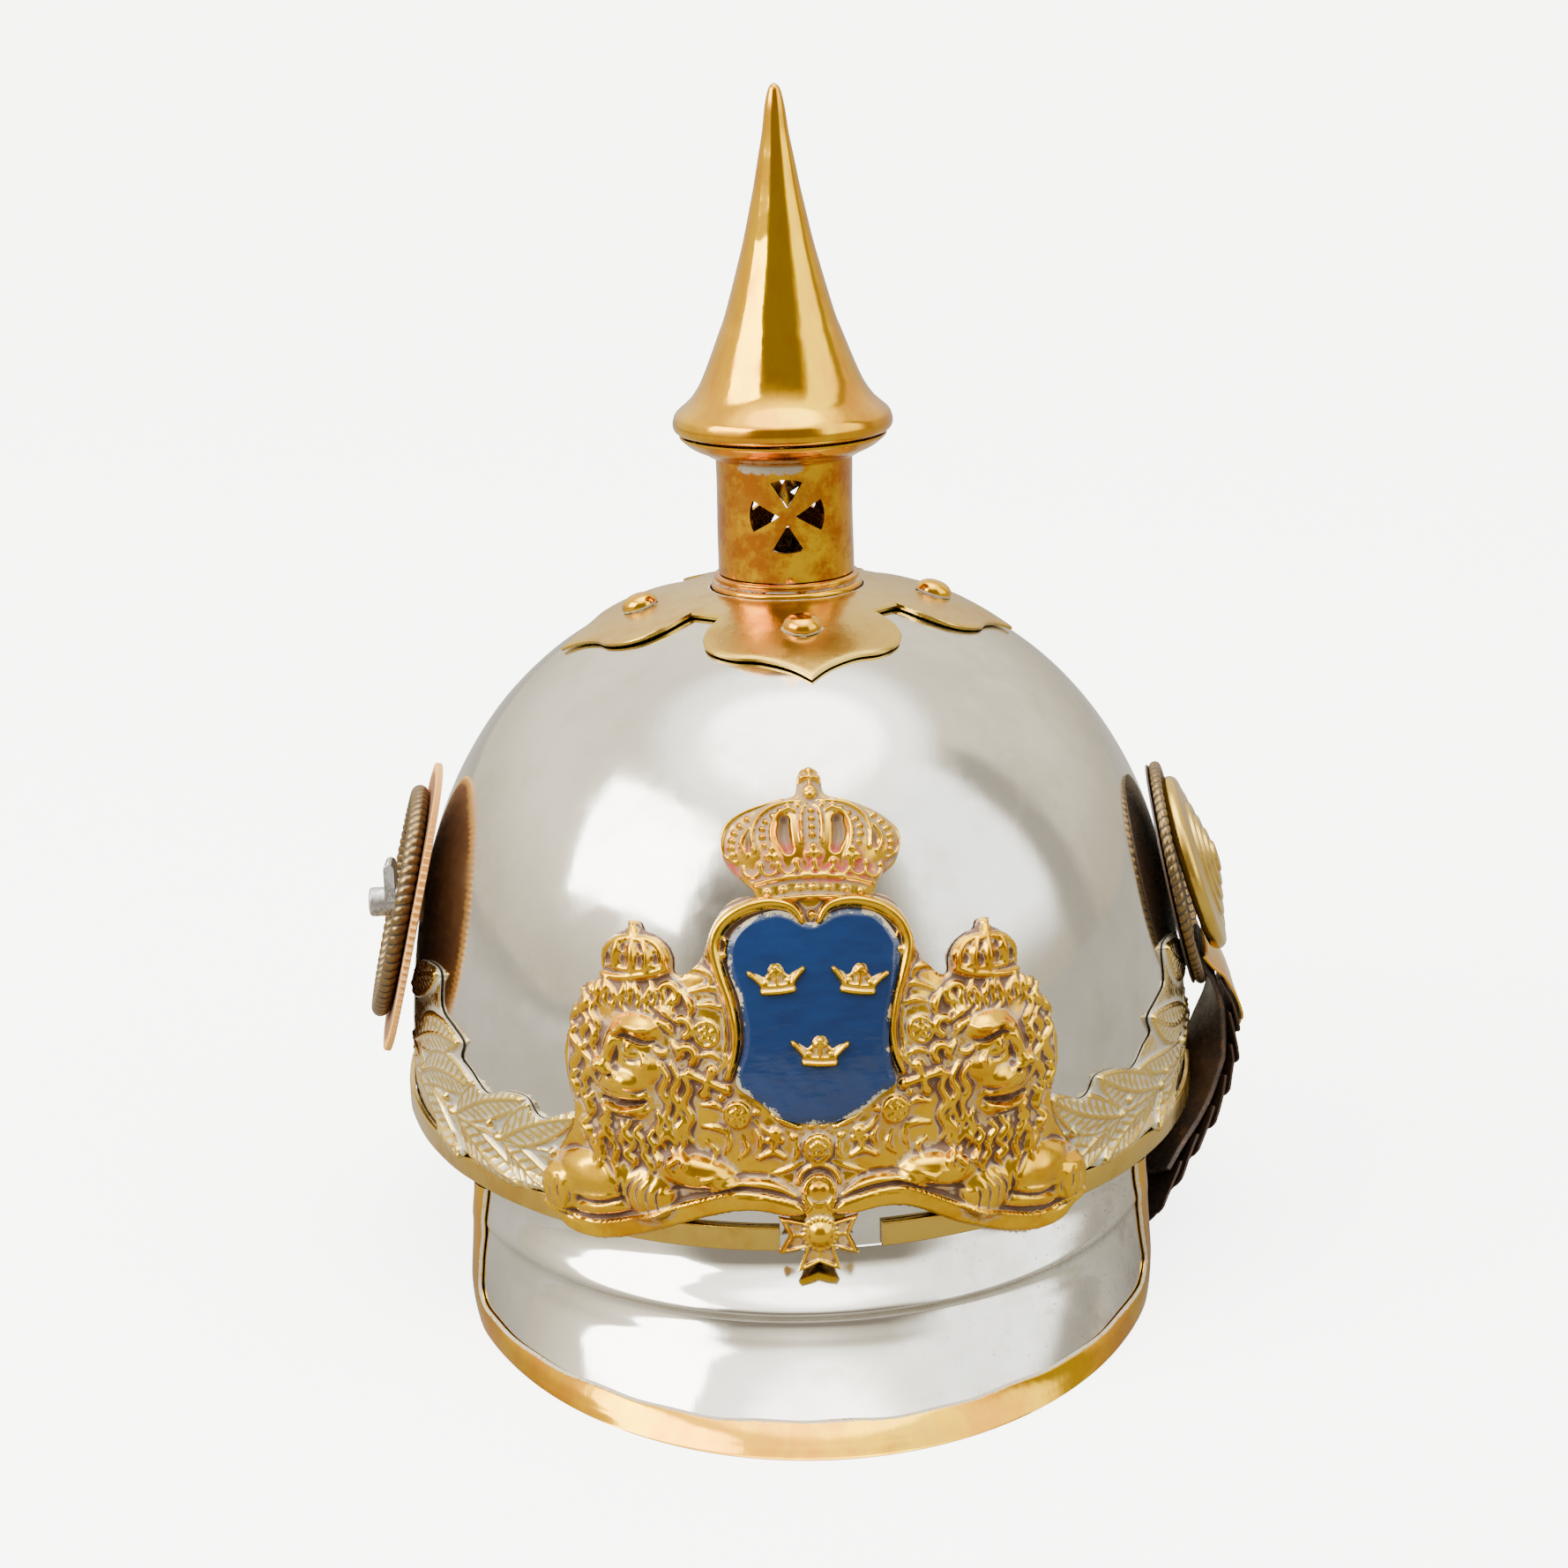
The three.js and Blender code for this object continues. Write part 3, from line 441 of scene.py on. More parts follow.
def bright_steel(n, place):
    """Filed steel with dull grey patches."""
    dull = clouds(n, place, 160.0, 0.45, 0.62)
    return {
        "Base Color": n.mix(dull, (0.62, 0.62, 0.63), (0.36, 0.34, 0.32)),
        "Roughness": n.fit(dull, 0.0, 1.0, 0.18, 0.4),
        "Normal": wear(n, place, 300.0, 0.5, 0.6),
    }


def grained_leather(light, dark, worn, roughness):
    """Recipe of a leather: light and dark patches with pores, and a worn colour where hollow is high."""
    def build(n, place):
        patches = clouds(n, place, 60.0, 0.4, 0.65)
        pores = n.add("TexVoronoi", {"Vector": place, "Scale": 1500.0}, "Distance")
        rubbed = hollow_mask(n, place, 300.0, 1.2, 0.75, 1.1)
        return {
            "Base Color": n.mix(rubbed, n.mix(patches, light, dark), worn),
            "Roughness": n.fit(patches, 0.0, 1.0, roughness, roughness + 0.15),
            "Normal": n.bump(pores, 0.5, 0.0002),
        }

    return build


def stamped_brass(n, place):
    """Gold relief with pale to brown paste in its hollows, and near-black brown painted shade in its deepest
    creases, cut edges and underside.
    """
    warm = clouds(n, place, 70.0, 0.42, 0.66)
    lodged = hollow_mask(n, place, 900.0, 0.7, 0.52, 0.95)
    gold = n.mix(warm, (0.72, 0.42, 0.01), (0.58, 0.26, 0.0))
    hollow_colour = n.mix(clouds(n, place, 55.0, 0.46, 0.62), (0.46, 0.36, 0.24), (0.30, 0.18, 0.10))
    # The deepest hollows, cut edges and underside go near-black brown: painted shade over the paste.
    hollow_colour = n.mix(hollow_mask(n, place, 400.0, 0.8, 0.78, 1.0), hollow_colour, (0.13, 0.065, 0.035))
    return two_toned_metal(n, place, lodged, gold, hollow_colour, (1.0, 0.15), (0.17, 0.6), (110.0, 0.3, 0.4))


def crown_brass(n, place):
    """Gold crown with brown paste in its hollows, and worn red enamel in the lower part of its cap."""
    lodged = hollow_mask(n, place, 900.0, 0.6, 0.42, 0.8)
    red = n.math("MULTIPLY", zone(n, place, *CAP_ZONE), clouds(n, place, 130.0, 0.40, 0.60))
    gold = n.mix(clouds(n, place, 70.0, 0.42, 0.66), (0.74, 0.43, 0.015), (0.62, 0.30, 0.015))
    hollow_colour = n.mix(red, (0.27, 0.18, 0.105), (0.50, 0.04, 0.035))
    return two_toned_metal(n, place, lodged, gold, hollow_colour, (1.0, 0.1), (0.18, 0.55), (110.0, 0.3, 0.4))


def laurel_metal(n, place):
    """Gilding left on the ribs and rims of the leaves, and silvery between them."""
    lodged = hollow_mask(n, place, 600.0, 0.7, 0.36, 0.66)
    gold = n.mix(clouds(n, place, 60.0, 0.42, 0.66), (0.66, 0.46, 0.10), (0.56, 0.36, 0.07))
    return two_toned_metal(n, place, lodged, gold, (0.50, 0.46, 0.36), (1.0, 0.55), (0.22, 0.42), (160.0, 0.5, 0.7))


def blue_enamel(n, place):
    """Deep blue glass with brush marks, chipped along its border to the white and gold under it."""
    edge = n.mark("edge")
    crumbs = n.noise(place, 1100.0, 6.0, 0.8)
    where = n.noise(place, 130.0, 2.0)
    near = n.math("MULTIPLY", n.fit(edge, 0.0, 3.0, 1.0, 0.0), n.fit(where, 0.38, 0.60, 0.5, 1.3))
    near = n.math("ADD", near, n.math("MULTIPLY", n.math("SUBTRACT", crumbs, 0.5), 2.4))
    chipped = n.fit(near, 0.95, 1.08)
    brushed = n.noise(n.stretched(place, (0.35, 1.0, 1.0)), 420.0, 3.0)
    blue = n.mix(brushed, (0.001, 0.012, 0.058), (0.003, 0.026, 0.105))
    chip = n.mix(n.noise(place, 500.0), (0.45, 0.50, 0.46), (0.50, 0.34, 0.10))
    strokes = n.noise(n.stretched(place, (0.30, 1.0, 1.0)), 260.0, 3.0)
    return {
        "Base Color": n.mix(chipped, blue, chip),
        "Roughness": n.fit(chipped, 0.0, 1.0, 0.12, 0.5),
        "Normal": n.bump(n.math("SUBTRACT", strokes, n.math("MULTIPLY", chipped, 0.5)), 0.5, 0.0005),
    }


STAMPED_BRASS = finish_named("Stamped brass with paste and painted shade in its hollows", stamped_brass)
CROWN_BRASS = finish_named("Badge brass with worn red enamel", crown_brass)
LAUREL_METAL = finish_named("Gilt edges over silvery hollows", laurel_metal)
ENAMEL = finish_named("Deep blue enamel", blue_enamel, Coat_Weight=0.25, Coat_Roughness=0.04)
WHITE_METAL = finish_named("White metal skull", white_metal, Metallic=1.0)
BRASS = finish_named("Polished brass", polished_brass)
SATIN_BRASS = finish_named("Satin brass", satin_brass)
SCALE_BRASS = finish_named("Scale brass, darker towards the bottom", scale_brass_darker_below)
BRONZE = finish_named("Dark bronze rope", rope_bronze)
STEEL = finish_named("Bright steel", bright_steel, Metallic=1.0)
tan = grained_leather((0.27, 0.11, 0.035), (0.17, 0.065, 0.022), (0.74, 0.38, 0.09), 0.6)
TAN_LEATHER = finish_named("Tan leather", tan)
black = grained_leather((0.075, 0.042, 0.024), (0.028, 0.020, 0.016), (0.30, 0.12, 0.04), 0.42)
DARK_LEATHER = finish_named("Dark strap leather", black)

# ---------------------------------------------------------------- the skull's surface


def skull_point(angle, step, offset=0.0):
    """
    Superellipse meridian turned on an oval: the angle runs from the front towards +X, step runs up the
    meridian from 0 at the rim to 1 at the top, and offset is the distance off the surface.
    """
    c = np.cos(step * np.pi / 2)
    s = np.maximum(np.sin(step * np.pi / 2), 1e-6)
    side, top, ratio = SKULL["side"], SKULL["top"], SKULL["depth_ratio"]
    radius = SKULL["half_width"] * c**top
    radial_slope = SKULL["half_width"] * top * c ** (top - 1) * s + 0 * angle
    height_slope = SKULL["rise"] * side * s ** (side - 1) * c
    normal = [height_slope * np.sin(angle), -height_slope * np.cos(angle) / ratio, radial_slope]
    height = SKULL["rise"] * s**side + 0 * angle
    point = [radius * np.sin(angle), -ratio * radius * np.cos(angle), height]
    return np.stack(point, axis=-1) + np.asarray(offset)[..., None] * unit(np.stack(normal, axis=-1))


def step_of_radius(radius):
    return (2 / np.pi) * np.arccos((radius / SKULL["half_width"]) ** (1 / SKULL["top"]))


def step_of_height(height):
    return (2 / np.pi) * np.arcsin((height / SKULL["rise"]) ** (1 / SKULL["side"]))


# Length of the front meridian from the rim to each step.
MERIDIAN_STEPS = np.linspace(0, 1, 1601)
meridian_points = skull_point(0 * MERIDIAN_STEPS, MERIDIAN_STEPS)
MERIDIAN = np.concatenate([[0], np.cumsum(np.linalg.norm(np.diff(meridian_points, axis=0), axis=1))])


def front_point(across, up, offset):
    """Point on the skull's front, by distance across it and up it; below the rim it hangs straight down."""
    step = np.interp(up, MERIDIAN, MERIDIAN_STEPS)
    radius = SKULL["half_width"] * np.cos(step * np.pi / 2) ** SKULL["top"]
    point = skull_point(across / radius, step, offset)
    point[..., 2] += np.minimum(up, 0)
    return point


def make_skull():
    """Thin hammered shell: the skull's surface moved by faint waves, and the same one a wall further in."""
    columns, rows = 256, 96
    angle = np.linspace(0, 2 * np.pi, columns, endpoint=False)[:, None]
    step = np.linspace(0, step_of_radius(VENT_HOLE_RADIUS), rows)[None, :]
    base = skull_point(angle, step)
    waves = 0.10 * ripple(base, 46, 3) + 0.03 * ripple(base, 19, 4)
    outer = skull_point(angle, step, waves)
    inner = skull_point(angle, step, waves - SKULL["wall"])
    # Stain-and-shade mark: strongest at the rim and towards +X, the side turned from the key light, where its
    # grey patches are painted shade as well as stains.
    stain_and_shade = np.clip(1 - base[..., 2] / 30, 0, 1) * smooth_step(base[..., 0], -20, 60)
    marks = np.concatenate([stain_and_shade, stain_and_shade[:, ::-1]], axis=1)
    skin = shell(outer, inner, True)
    make_piece("skull_shell", skin, WHITE_METAL, ["skull"], {"stain_and_shade": marks})


def rounded_bar(width, thickness, rounding, steps=3):
    """Closed section of a flat bar, from 0 to width and 0 to thickness, with round outer corners."""
    turn = np.linspace(0, np.pi / 2, steps + 1)
    corner = rounding * np.stack([np.sin(turn), np.cos(turn)], axis=-1)
    right = corner + [width - rounding, thickness - rounding]
    left = corner[::-1] * [-1, 1] + [rounding, thickness - rounding]
    return np.concatenate([[[0, 0]], left, right, [[width, 0]]])


def make_band():
    """Flat brass strap round the foot of the skull: a rounded section carried round the rim."""
    section = rounded_bar(BAND["height"], BAND["thickness"], BAND["rounding"])
    angle = np.linspace(BAND["start"], 2 * np.pi - BAND["end"], 400)[:, None]
    step = step_of_height(np.maximum(section[:, 0], 1e-3))[None, :]
    sway = 0.06 * np.sin(17 * angle) + 0.05 * np.sin(31 * angle + 1)
    points = skull_point(angle, step, GAP + section[None, :, 1] + sway * (section[None, :, 1] > 0.5))
    hollow = np.where(section[:, 1] < 0.9, 0.8, 0.2)
    make_piece("band_strip", tube(points), SATIN_BRASS, ["skull_band"], {"hollow": hollow})


# ---------------------------------------------------------------- visor and neck guard
VISOR_FLARE = [
    (-0.1, -0.05), (0, 0), (0.1, 0.06), (0.2, 0.17), (0.28, 0.275), (0.325, 0.325), (0.35, 0.330),
    (0.38, 0.302), (0.42, 0.300), (0.5, 0.365), (0.6, 0.465), (0.8, 0.72), (1, 1), (1.2, 1.29),
]
NAPE_FLARE = [(-0.1, 0.0), (0, 0), (0.25, 0.1), (0.5, 0.33), (0.75, 0.64), (1, 1), (1.2, 1.32)]


VISOR["profile"] = smooth_line(VISOR_FLARE, 12).T
NAPE["profile"] = smooth_line(NAPE_FLARE, 12).T


def flare(guard, u, v):
    """Share of the way out from the rim to the edge; the visor's fold runs lower towards its ends."""
    dip = guard["fold_dip"] * np.minimum(np.abs(u), 1.05) ** 8 * np.sin(np.pi * np.clip(v, 0, 1))
    return np.interp(v + dip, *guard["profile"])


def guard_base(guard, u, v):
    """The rim's oval blended into a wider oval near the floor; u runs end to end, v from rim to edge."""
    turn = np.radians(guard["half_angle"]) * u
    front, half = guard["front"], SKULL["half_width"]
    rim = half * np.sin(turn), -SKULL["depth_ratio"] * half * np.cos(turn)
    spread = turn * guard["spread"]
    edge = guard["edge_x"] * np.sin(spread), guard["centre_y"] * front - guard["edge_y"] * np.cos(spread)
    out = flare(guard, u, v)
    x, y = (front * (a + (b - a) * out) for a, b in zip(rim, edge))
    z = -GAP + (EDGE_HEIGHT - RIM_HEIGHT + GAP) * v
    return np.stack(np.broadcast_arrays(x, y, z), axis=-1)


def guard_point(guard, u, v, offset):
    """Point off the guard's surface, along its normal."""
    d = 0.01
    across = guard_base(guard, u + d, v) - guard_base(guard, u - d, v)
    down = guard_base(guard, u, v + d) - guard_base(guard, u, v - d)
    normal = unit(np.cross(down, across))
    normal *= -np.sign(normal[..., 1:2]) * guard["front"]
    return guard_base(guard, u, v) + np.asarray(offset)[..., None] * normal


def corner_depth(guard, u):
    """Share of its full depth that a guard reaches at u: its lower corners are rounded off."""
    w = np.clip((np.abs(u) - guard["corner"]) / (1 - guard["corner"]), 0, 1)
    return 1 - guard["corner_drop"] * (1 - np.sqrt(1 - w * w))


def make_guard(name, guard, node):
    """Sheet-metal guard with faint waves, between two offsets of its surface."""
    u = np.sin(np.linspace(-1, 1, 181) * np.pi / 2)[:, None]
    share = np.linspace(0, 1, 110)[None, :]
    v = share * corner_depth(guard, u)
    base = guard_base(guard, u, v)
    offset = (0.10 * ripple(base, 38, 7) + 0.03 * ripple(base, 15, 8)) * np.sin(np.pi * share)
    outer = guard_point(guard, u, v, offset)
    inner = guard_point(guard, u, v, offset - GUARD_WALL)
    # Stain-and-shade mark: on the visor it grows towards +X, the end turned from the key light, so its grey
    # patches there are painted shade; the neck guard gets a light, even stain.
    stain_and_shade = smooth_step(outer[..., 0], -5, 70) * (guard["front"] > 0) + 0.3 * (guard["front"] < 0)
    marks = np.concatenate([stain_and_shade, stain_and_shade[:, ::-1]], axis=1)
    skin = shell(outer, inner)
    make_piece(name, skin, WHITE_METAL, [node], {"stain_and_shade": marks}, crease=60)


def make_trim(name, guard, node):
    """
    Brass strip folded over a guard's ends and lower edge: a crowned face outside, a round fold past the
    edge and a lip inside. Its inner border wanders a little, and it is filed flat at the floor.
    """
    side = (np.arange(12) + 0.15) / 12
    columns = np.sin(np.linspace(-1, 1, 261) * np.pi / 2)
    u = np.concatenate([-np.ones(12), columns, np.ones(12)])
    end_depth = corner_depth(guard, 1.0)
    v = np.concatenate([end_depth * side, corner_depth(guard, columns), end_depth * side[::-1]])
    long, deep = guard["size"]
    run_u, run_v = np.gradient(u) * long, np.gradient(v) * deep
    length = np.hypot(run_u, run_v)
    inward_u, inward_v = (run_v / length / long)[:, None], (-run_u / length / deep)[:, None]
    cap = TRIM["cap"] + TRIM["cap_below"] * np.maximum(0, run_u / length) ** 2
    places, seed = np.cumsum(length), guard["wander"]
    wander = 0.22 * np.sin(places / 7 + seed) + 0.16 * np.sin(places / 2.9 + 2 * seed)

    face = np.linspace(1, 0, 10)
    fold = np.linspace(0, np.pi, 11)
    out_low, in_low = TRIM["clearance"], -GUARD_WALL - TRIM["clearance"]
    out_high, in_high = out_low + TRIM["sheet"], in_low - TRIM["sheet"]
    middle, half = (out_high + in_high) / 2, (out_high - in_high) / 2
    width = (TRIM["width"] + wander)[:, None]
    outer_w = width * face + 0 * width
    outer_side = out_high + 0.22 * np.sin(np.pi * face) - 0.35 * smooth_step(face, 0.9, 1.0) + 0 * width
    fold_w = -cap[:, None] * np.sin(fold)
    fold_side = middle + half * np.cos(fold) + 0 * width
    inner_w = TRIM["lip"] * face[::-1] + 0 * width
    inner_side = in_high + 0 * inner_w
    slack, none = TRIM["clearance"], 0 * cap
    back_w = np.stack([TRIM["lip"] + none, none - slack, none - slack, width[:, 0]], axis=1)
    back_side = np.array([in_low, in_low, out_low, out_low]) + 0 * back_w
    w = np.concatenate([outer_w, fold_w[:, 1:-1], inner_w, back_w], axis=1)
    offset = np.concatenate([outer_side, fold_side[:, 1:-1], inner_side, back_side], axis=1)
    points = guard_point(guard, u[:, None] + inward_u * w, v[:, None] + inward_v * w, offset)
    points[..., 2] = np.maximum(points[..., 2], -RIM_HEIGHT)
    index = np.arange(w.size).reshape(w.shape)
    face_end, fold_end, lip_end = 9, 19, 28
    faces = [bands(index, False, True)]
    for line, way in ((index[0], 1), (index[-1], -1)):
        quads = np.array([
            [line[0], line[face_end], line[-2], line[-1]],
            [line[face_end], line[fold_end], line[-3], line[-2]],
            [line[fold_end], line[lip_end], line[-4], line[-3]],
        ])
        faces.append(quads[:, ::way])
    hollow = np.zeros(w.shape[1])
    hollow[:4] = 1.0, 1.0, 0.55, 0.3
    skin = points, np.concatenate(faces)
    make_piece(name, skin, BRASS, [node], {"hollow": hollow}, crease=50)


def make_guards():
    make_guard("visor_sheet", VISOR, "visor")
    make_trim("visor_border", VISOR, "visor_trim")
    make_guard("neck_guard_sheet", NAPE, "neck_guard")
    make_trim("neck_guard_border", NAPE, "neck_trim")


# ---------------------------------------------------------------- crown mount and spike
LOBE = [(25, 17.5), (29.5, 21.3), (35, 23), (40, 21.6), (44.5, 17), (47, 11), (51, 4.5), (55, 0)]


def top_point(angle, radius, offset):
    """Point over the skull's top, by its true radius and angle in plan about the spike."""
    turn = angle + np.radians(CROSS["yaw"])
    x, y = radius * np.sin(turn), radius * np.cos(turn) / SKULL["depth_ratio"]
    return skull_point(np.arctan2(x, y), step_of_radius(np.hypot(x, y)), offset)


def make_cross_plate():
    """Four-lobed plate: each half lobe is a smooth line in plan, joined to a ring round the neck."""
    half = smooth_line(LOBE, 5)
    lobe = np.concatenate([half, (half * [1, -1])[::-1][1:]])
    angle = np.arctan2(lobe[:, 1], lobe[:, 0])
    angles = np.concatenate([k * np.pi / 2 - angle for k in range(4)])
    reach = np.tile(np.hypot(lobe[:, 0], lobe[:, 1]), 4)
    share = np.concatenate([np.linspace(0, 0.9, 12), [0.94, 0.97, 0.985, 1.0]])
    radius = CROSS["inner"] + (reach[:, None] - CROSS["inner"]) * share
    edge = (reach[:, None] - CROSS["inner"]) * (1 - share)
    lift = CROSS["seat"] + CROSS["thickness"] - 0.35 * (1 - smooth_step(edge, 0, 0.8)) ** 2
    flat = np.stack([radius * np.cos(angles[:, None]), radius * np.sin(angles[:, None]), 0 * radius], axis=-1)
    outer = top_point(angles[:, None], radius, lift + 0.05 * ripple(flat, 14, 5))
    inner = top_point(angles[:, None], radius, CROSS["seat"] + 0 * radius)
    stud_distance = np.full(radius.shape, 99.0)
    for k in range(4):
        centre = STUD["seat"] * np.array([np.cos(k * np.pi / 2), np.sin(k * np.pi / 2)])
        away = np.linalg.norm(flat[..., :2] - centre, axis=-1)
        stud_distance = np.minimum(stud_distance, away)
    hollow = np.maximum(1 - smooth_step(stud_distance, 4.4, 6.2), 1 - smooth_step(radius, 18.6, 20.5))
    hollow = np.maximum(hollow, 0.5 * (1 - smooth_step(edge, 0.3, 1.4)))
    marks = np.concatenate([hollow, 0 * hollow], axis=1)
    skin = shell(outer, inner, True)
    make_piece("cross_sheet", skin, SATIN_BRASS, ["cross_plate"], {"hollow": marks})


def placed(points, foot, outward):
    """Points whose z stands for outward, turned the shortest way from Z and moved to foot."""
    axis = np.cross([0, 0, 1], outward)
    cross = np.array([[0, -axis[2], axis[1]], [axis[2], 0, -axis[0]], [-axis[1], axis[0], 0]])
    turn = np.eye(3) + cross + cross @ cross / (1 + outward[2])
    return points @ turn.T + foot


def make_studs():
    """Domed rivet heads with a thin foot, standing square on the plate."""
    dome = np.linspace(0, np.pi / 2, 12)
    rise, radius = STUD["rise"], STUD["radius"]
    head = np.stack([radius * np.cos(dome) ** 0.85, 0.35 + (rise - 0.35) * np.sin(dome)], axis=-1)
    profile = np.concatenate([[[0, 0], [radius, 0]], head[:-1], [[0, rise]]])
    points, faces = turned(profile, 40, False)
    hollow = np.where(profile[:, 1] < 0.5, 1.0, 0.0)
    for k, side in enumerate(["front", "left", "back", "right"]):
        seat = CROSS["seat"] + CROSS["thickness"] + 0.05
        foot, above = (top_point(k * np.pi / 2, STUD["seat"], lift) for lift in (seat, seat + 1))
        skin = placed(points, foot, unit(above - foot)), faces
        make_piece(f"stud_head_{side}", skin, BRASS, [f"stud_{side}"], {"hollow": hollow})


def make_collar():
    """Two rolled beads at the foot of the neck."""
    bore = NECK["radius"] - NECK["wall"]
    profile = smooth_line([
        (17.0, 128.7), (17.7, 128.2), (17.6, 127.4), (17.1, 126.9), (17.9, 126.5), (18.4, 125.8),
        (18.2, 124.9), (17.6, 124.6),
    ], 5)
    profile = np.concatenate([[[bore, COLLAR["bottom"]], [bore, COLLAR["top"]]], profile])
    hollow = np.where(np.abs(profile[:, 1] - 126.9) < 0.3, 0.9, 0.1)
    skin = turned(profile, 96)
    make_piece("neck_collar_beads", skin, BRASS, ["neck_collar"], {"hollow": hollow})


def make_spike():
    """Trumpet-shaped spike over a cupped dish: two smooth profiles turned about the axis, faintly dented."""
    outline = smooth_line([
        (24.9, 163.0), (26.0, 163.7), (26.5, 164.9), (26.3, 166.4), (25.5, 168.0), (22.2, 170.9),
        (19.95, 174.0), (18.3, 177.4), (17.0, 180.6), (15.8, 183.7), (14.6, 186.9), (13.4, 190.0),
        (11.6, 196.2), (9.9, 202.4), (8.25, 208.6), (6.85, 214.8), (5.5, 220.9), (4.34, 227.0),
        (3.2, 233.0), (2.47, 238.6), (1.75, 242.0), (1.1, 243.6), (0.0, 244.4),
    ], 4)
    inside = outline[outline[:, 1] < 226][::-1] - [1.1, 0]
    profile = np.concatenate([[[0, 226]], inside, outline])
    points, faces = turned(profile, 112, False)
    fade = smooth_step(points[..., 2], 163, 175) * (1 - smooth_step(points[..., 2], 225, 240))
    radial = points[..., :2] / np.maximum(np.hypot(points[..., 0], points[..., 1]), 0.1)[..., None]
    points[..., :2] += radial * (fade * 0.14 * ripple(points * [1, 1, 0.35], 21, 11))[..., None]
    hollow = 0.55 * (1 - smooth_step(profile[:, 1], 163, 164.4))
    make_piece("spike_body", (points, faces), BRASS, ["spike"], {"hollow": hollow})

    under = smooth_line([
        (16.8, 157.0), (18.2, 157.7), (19.2, 158.3), (21.4, 159.3), (22.9, 160.2), (24.2, 161.3),
        (24.9, 162.0), (25.0, 162.6),
    ], 5)
    over = smooth_line([(23.6, 162.6), (22.0, 160.9), (19.0, 159.2), (16.8, 158.4)], 3)
    skin = turned(np.concatenate([under, over]), 112)
    make_piece("spike_dish_cup", skin, BRASS, ["spike_dish"], {"hollow": 0.3})


# ---------------------------------------------------------------- side fittings


def side_frame(angle, height, forward, up):
    """Foot and outward direction of a fitting on the skull's side, turned forward and up as asked."""
    step = step_of_height(height)
    foot, above = (skull_point(np.radians(angle), step, offset) for offset in (0.0, 1.0))
    out = above - foot
    turn = np.radians(-np.sign(angle) * forward)
    out = np.array([
        out[0] * np.cos(turn) - out[1] * np.sin(turn), out[0] * np.sin(turn) + out[1] * np.cos(turn),
        out[2] + np.tan(np.radians(up)),
    ])
    return foot, unit(out)


def make_rope_disc(name, disc, base, side, node):
    """Dished disc whose rolled rim is a twisted rope: the rim's radius follows slanting strands."""
    radius, rim, floor = disc["radius"], disc["rim"], disc["floor"]
    turn = np.linspace(0, 2 * np.pi, ROPE_STRANDS * 8, endpoint=False)[:, None]
    roll = np.linspace(-np.pi / 2, np.pi * 0.95, 22)[None, :]
    strand = np.abs(np.sin((ROPE_STRANDS * turn + 1.6 * roll) / 2)) ** 0.7
    size = rim * (0.84 + 0.2 * strand)
    rope = [radius - rim + size * np.cos(roll), base + rim + size * np.sin(roll)]
    bore = POST["radius"] + 0.3
    dish_r = np.array([radius - 2.4 * rim, *(radius * np.array([0.8, 0.62, 0.6, 0.4, 0.38])), bore])
    dish_z = base + floor + np.array([0.4, 0.0, 0.0, 0.5, 0.5, 0.1, 0.1])
    flat = 0 * turn
    r = np.concatenate([bore + flat, radius - 2 * rim + flat, rope[0], dish_r + flat], axis=1)
    z = np.concatenate([base + flat, base + flat, rope[1], dish_z + flat], axis=1)
    hollow = np.full(r.shape, 0.65)
    hollow[:, 2:24] = 1 - strand
    points, faces = tube(disc_places(r, z, turn), True)
    make_piece(name, (placed(points, *side), faces), BRONZE, [node], {"hollow": hollow})


def make_leather_washer(side, base):
    """Tan leather disc with a pinked edge, a little wavy."""
    thickness, teeth = LEATHER_DISC["thickness"], LEATHER_DISC["teeth"]
    turn = np.linspace(0, 2 * np.pi, teeth * 6, endpoint=False)[:, None]
    wave = (teeth * turn / (2 * np.pi)) % 1
    edge = LEATHER_DISC["radius"] - LEATHER_DISC["tooth"] * np.abs(2 * wave - 1)
    bore = POST["radius"] + 0.3 + 0 * edge
    under = [bore, edge * 0.5, edge * 0.93, edge - 0.25, edge]
    r = np.concatenate(under + under[::-1], axis=1)
    z = base + thickness * np.array([0, 0, 0.25, 0.3, 0.35, 0.9, 0.98, 1.0, 1.0, 1])[None, :] + 0 * r
    z += 0.25 * np.sin(3 * turn + 1) * (r / LEATHER_DISC["radius"]) ** 3
    hollow = np.array([0, 0, 0.5, 1.6, 2, 2, 1.6, 0.5, 0, 0.0])
    points, faces = tube(disc_places(r, z, turn) - [0, 2.4, 0], True)
    skin = placed(points, *side), faces
    make_piece("leather_washer", skin, TAN_LEATHER, ["leather_disc"], {"hollow": hollow})


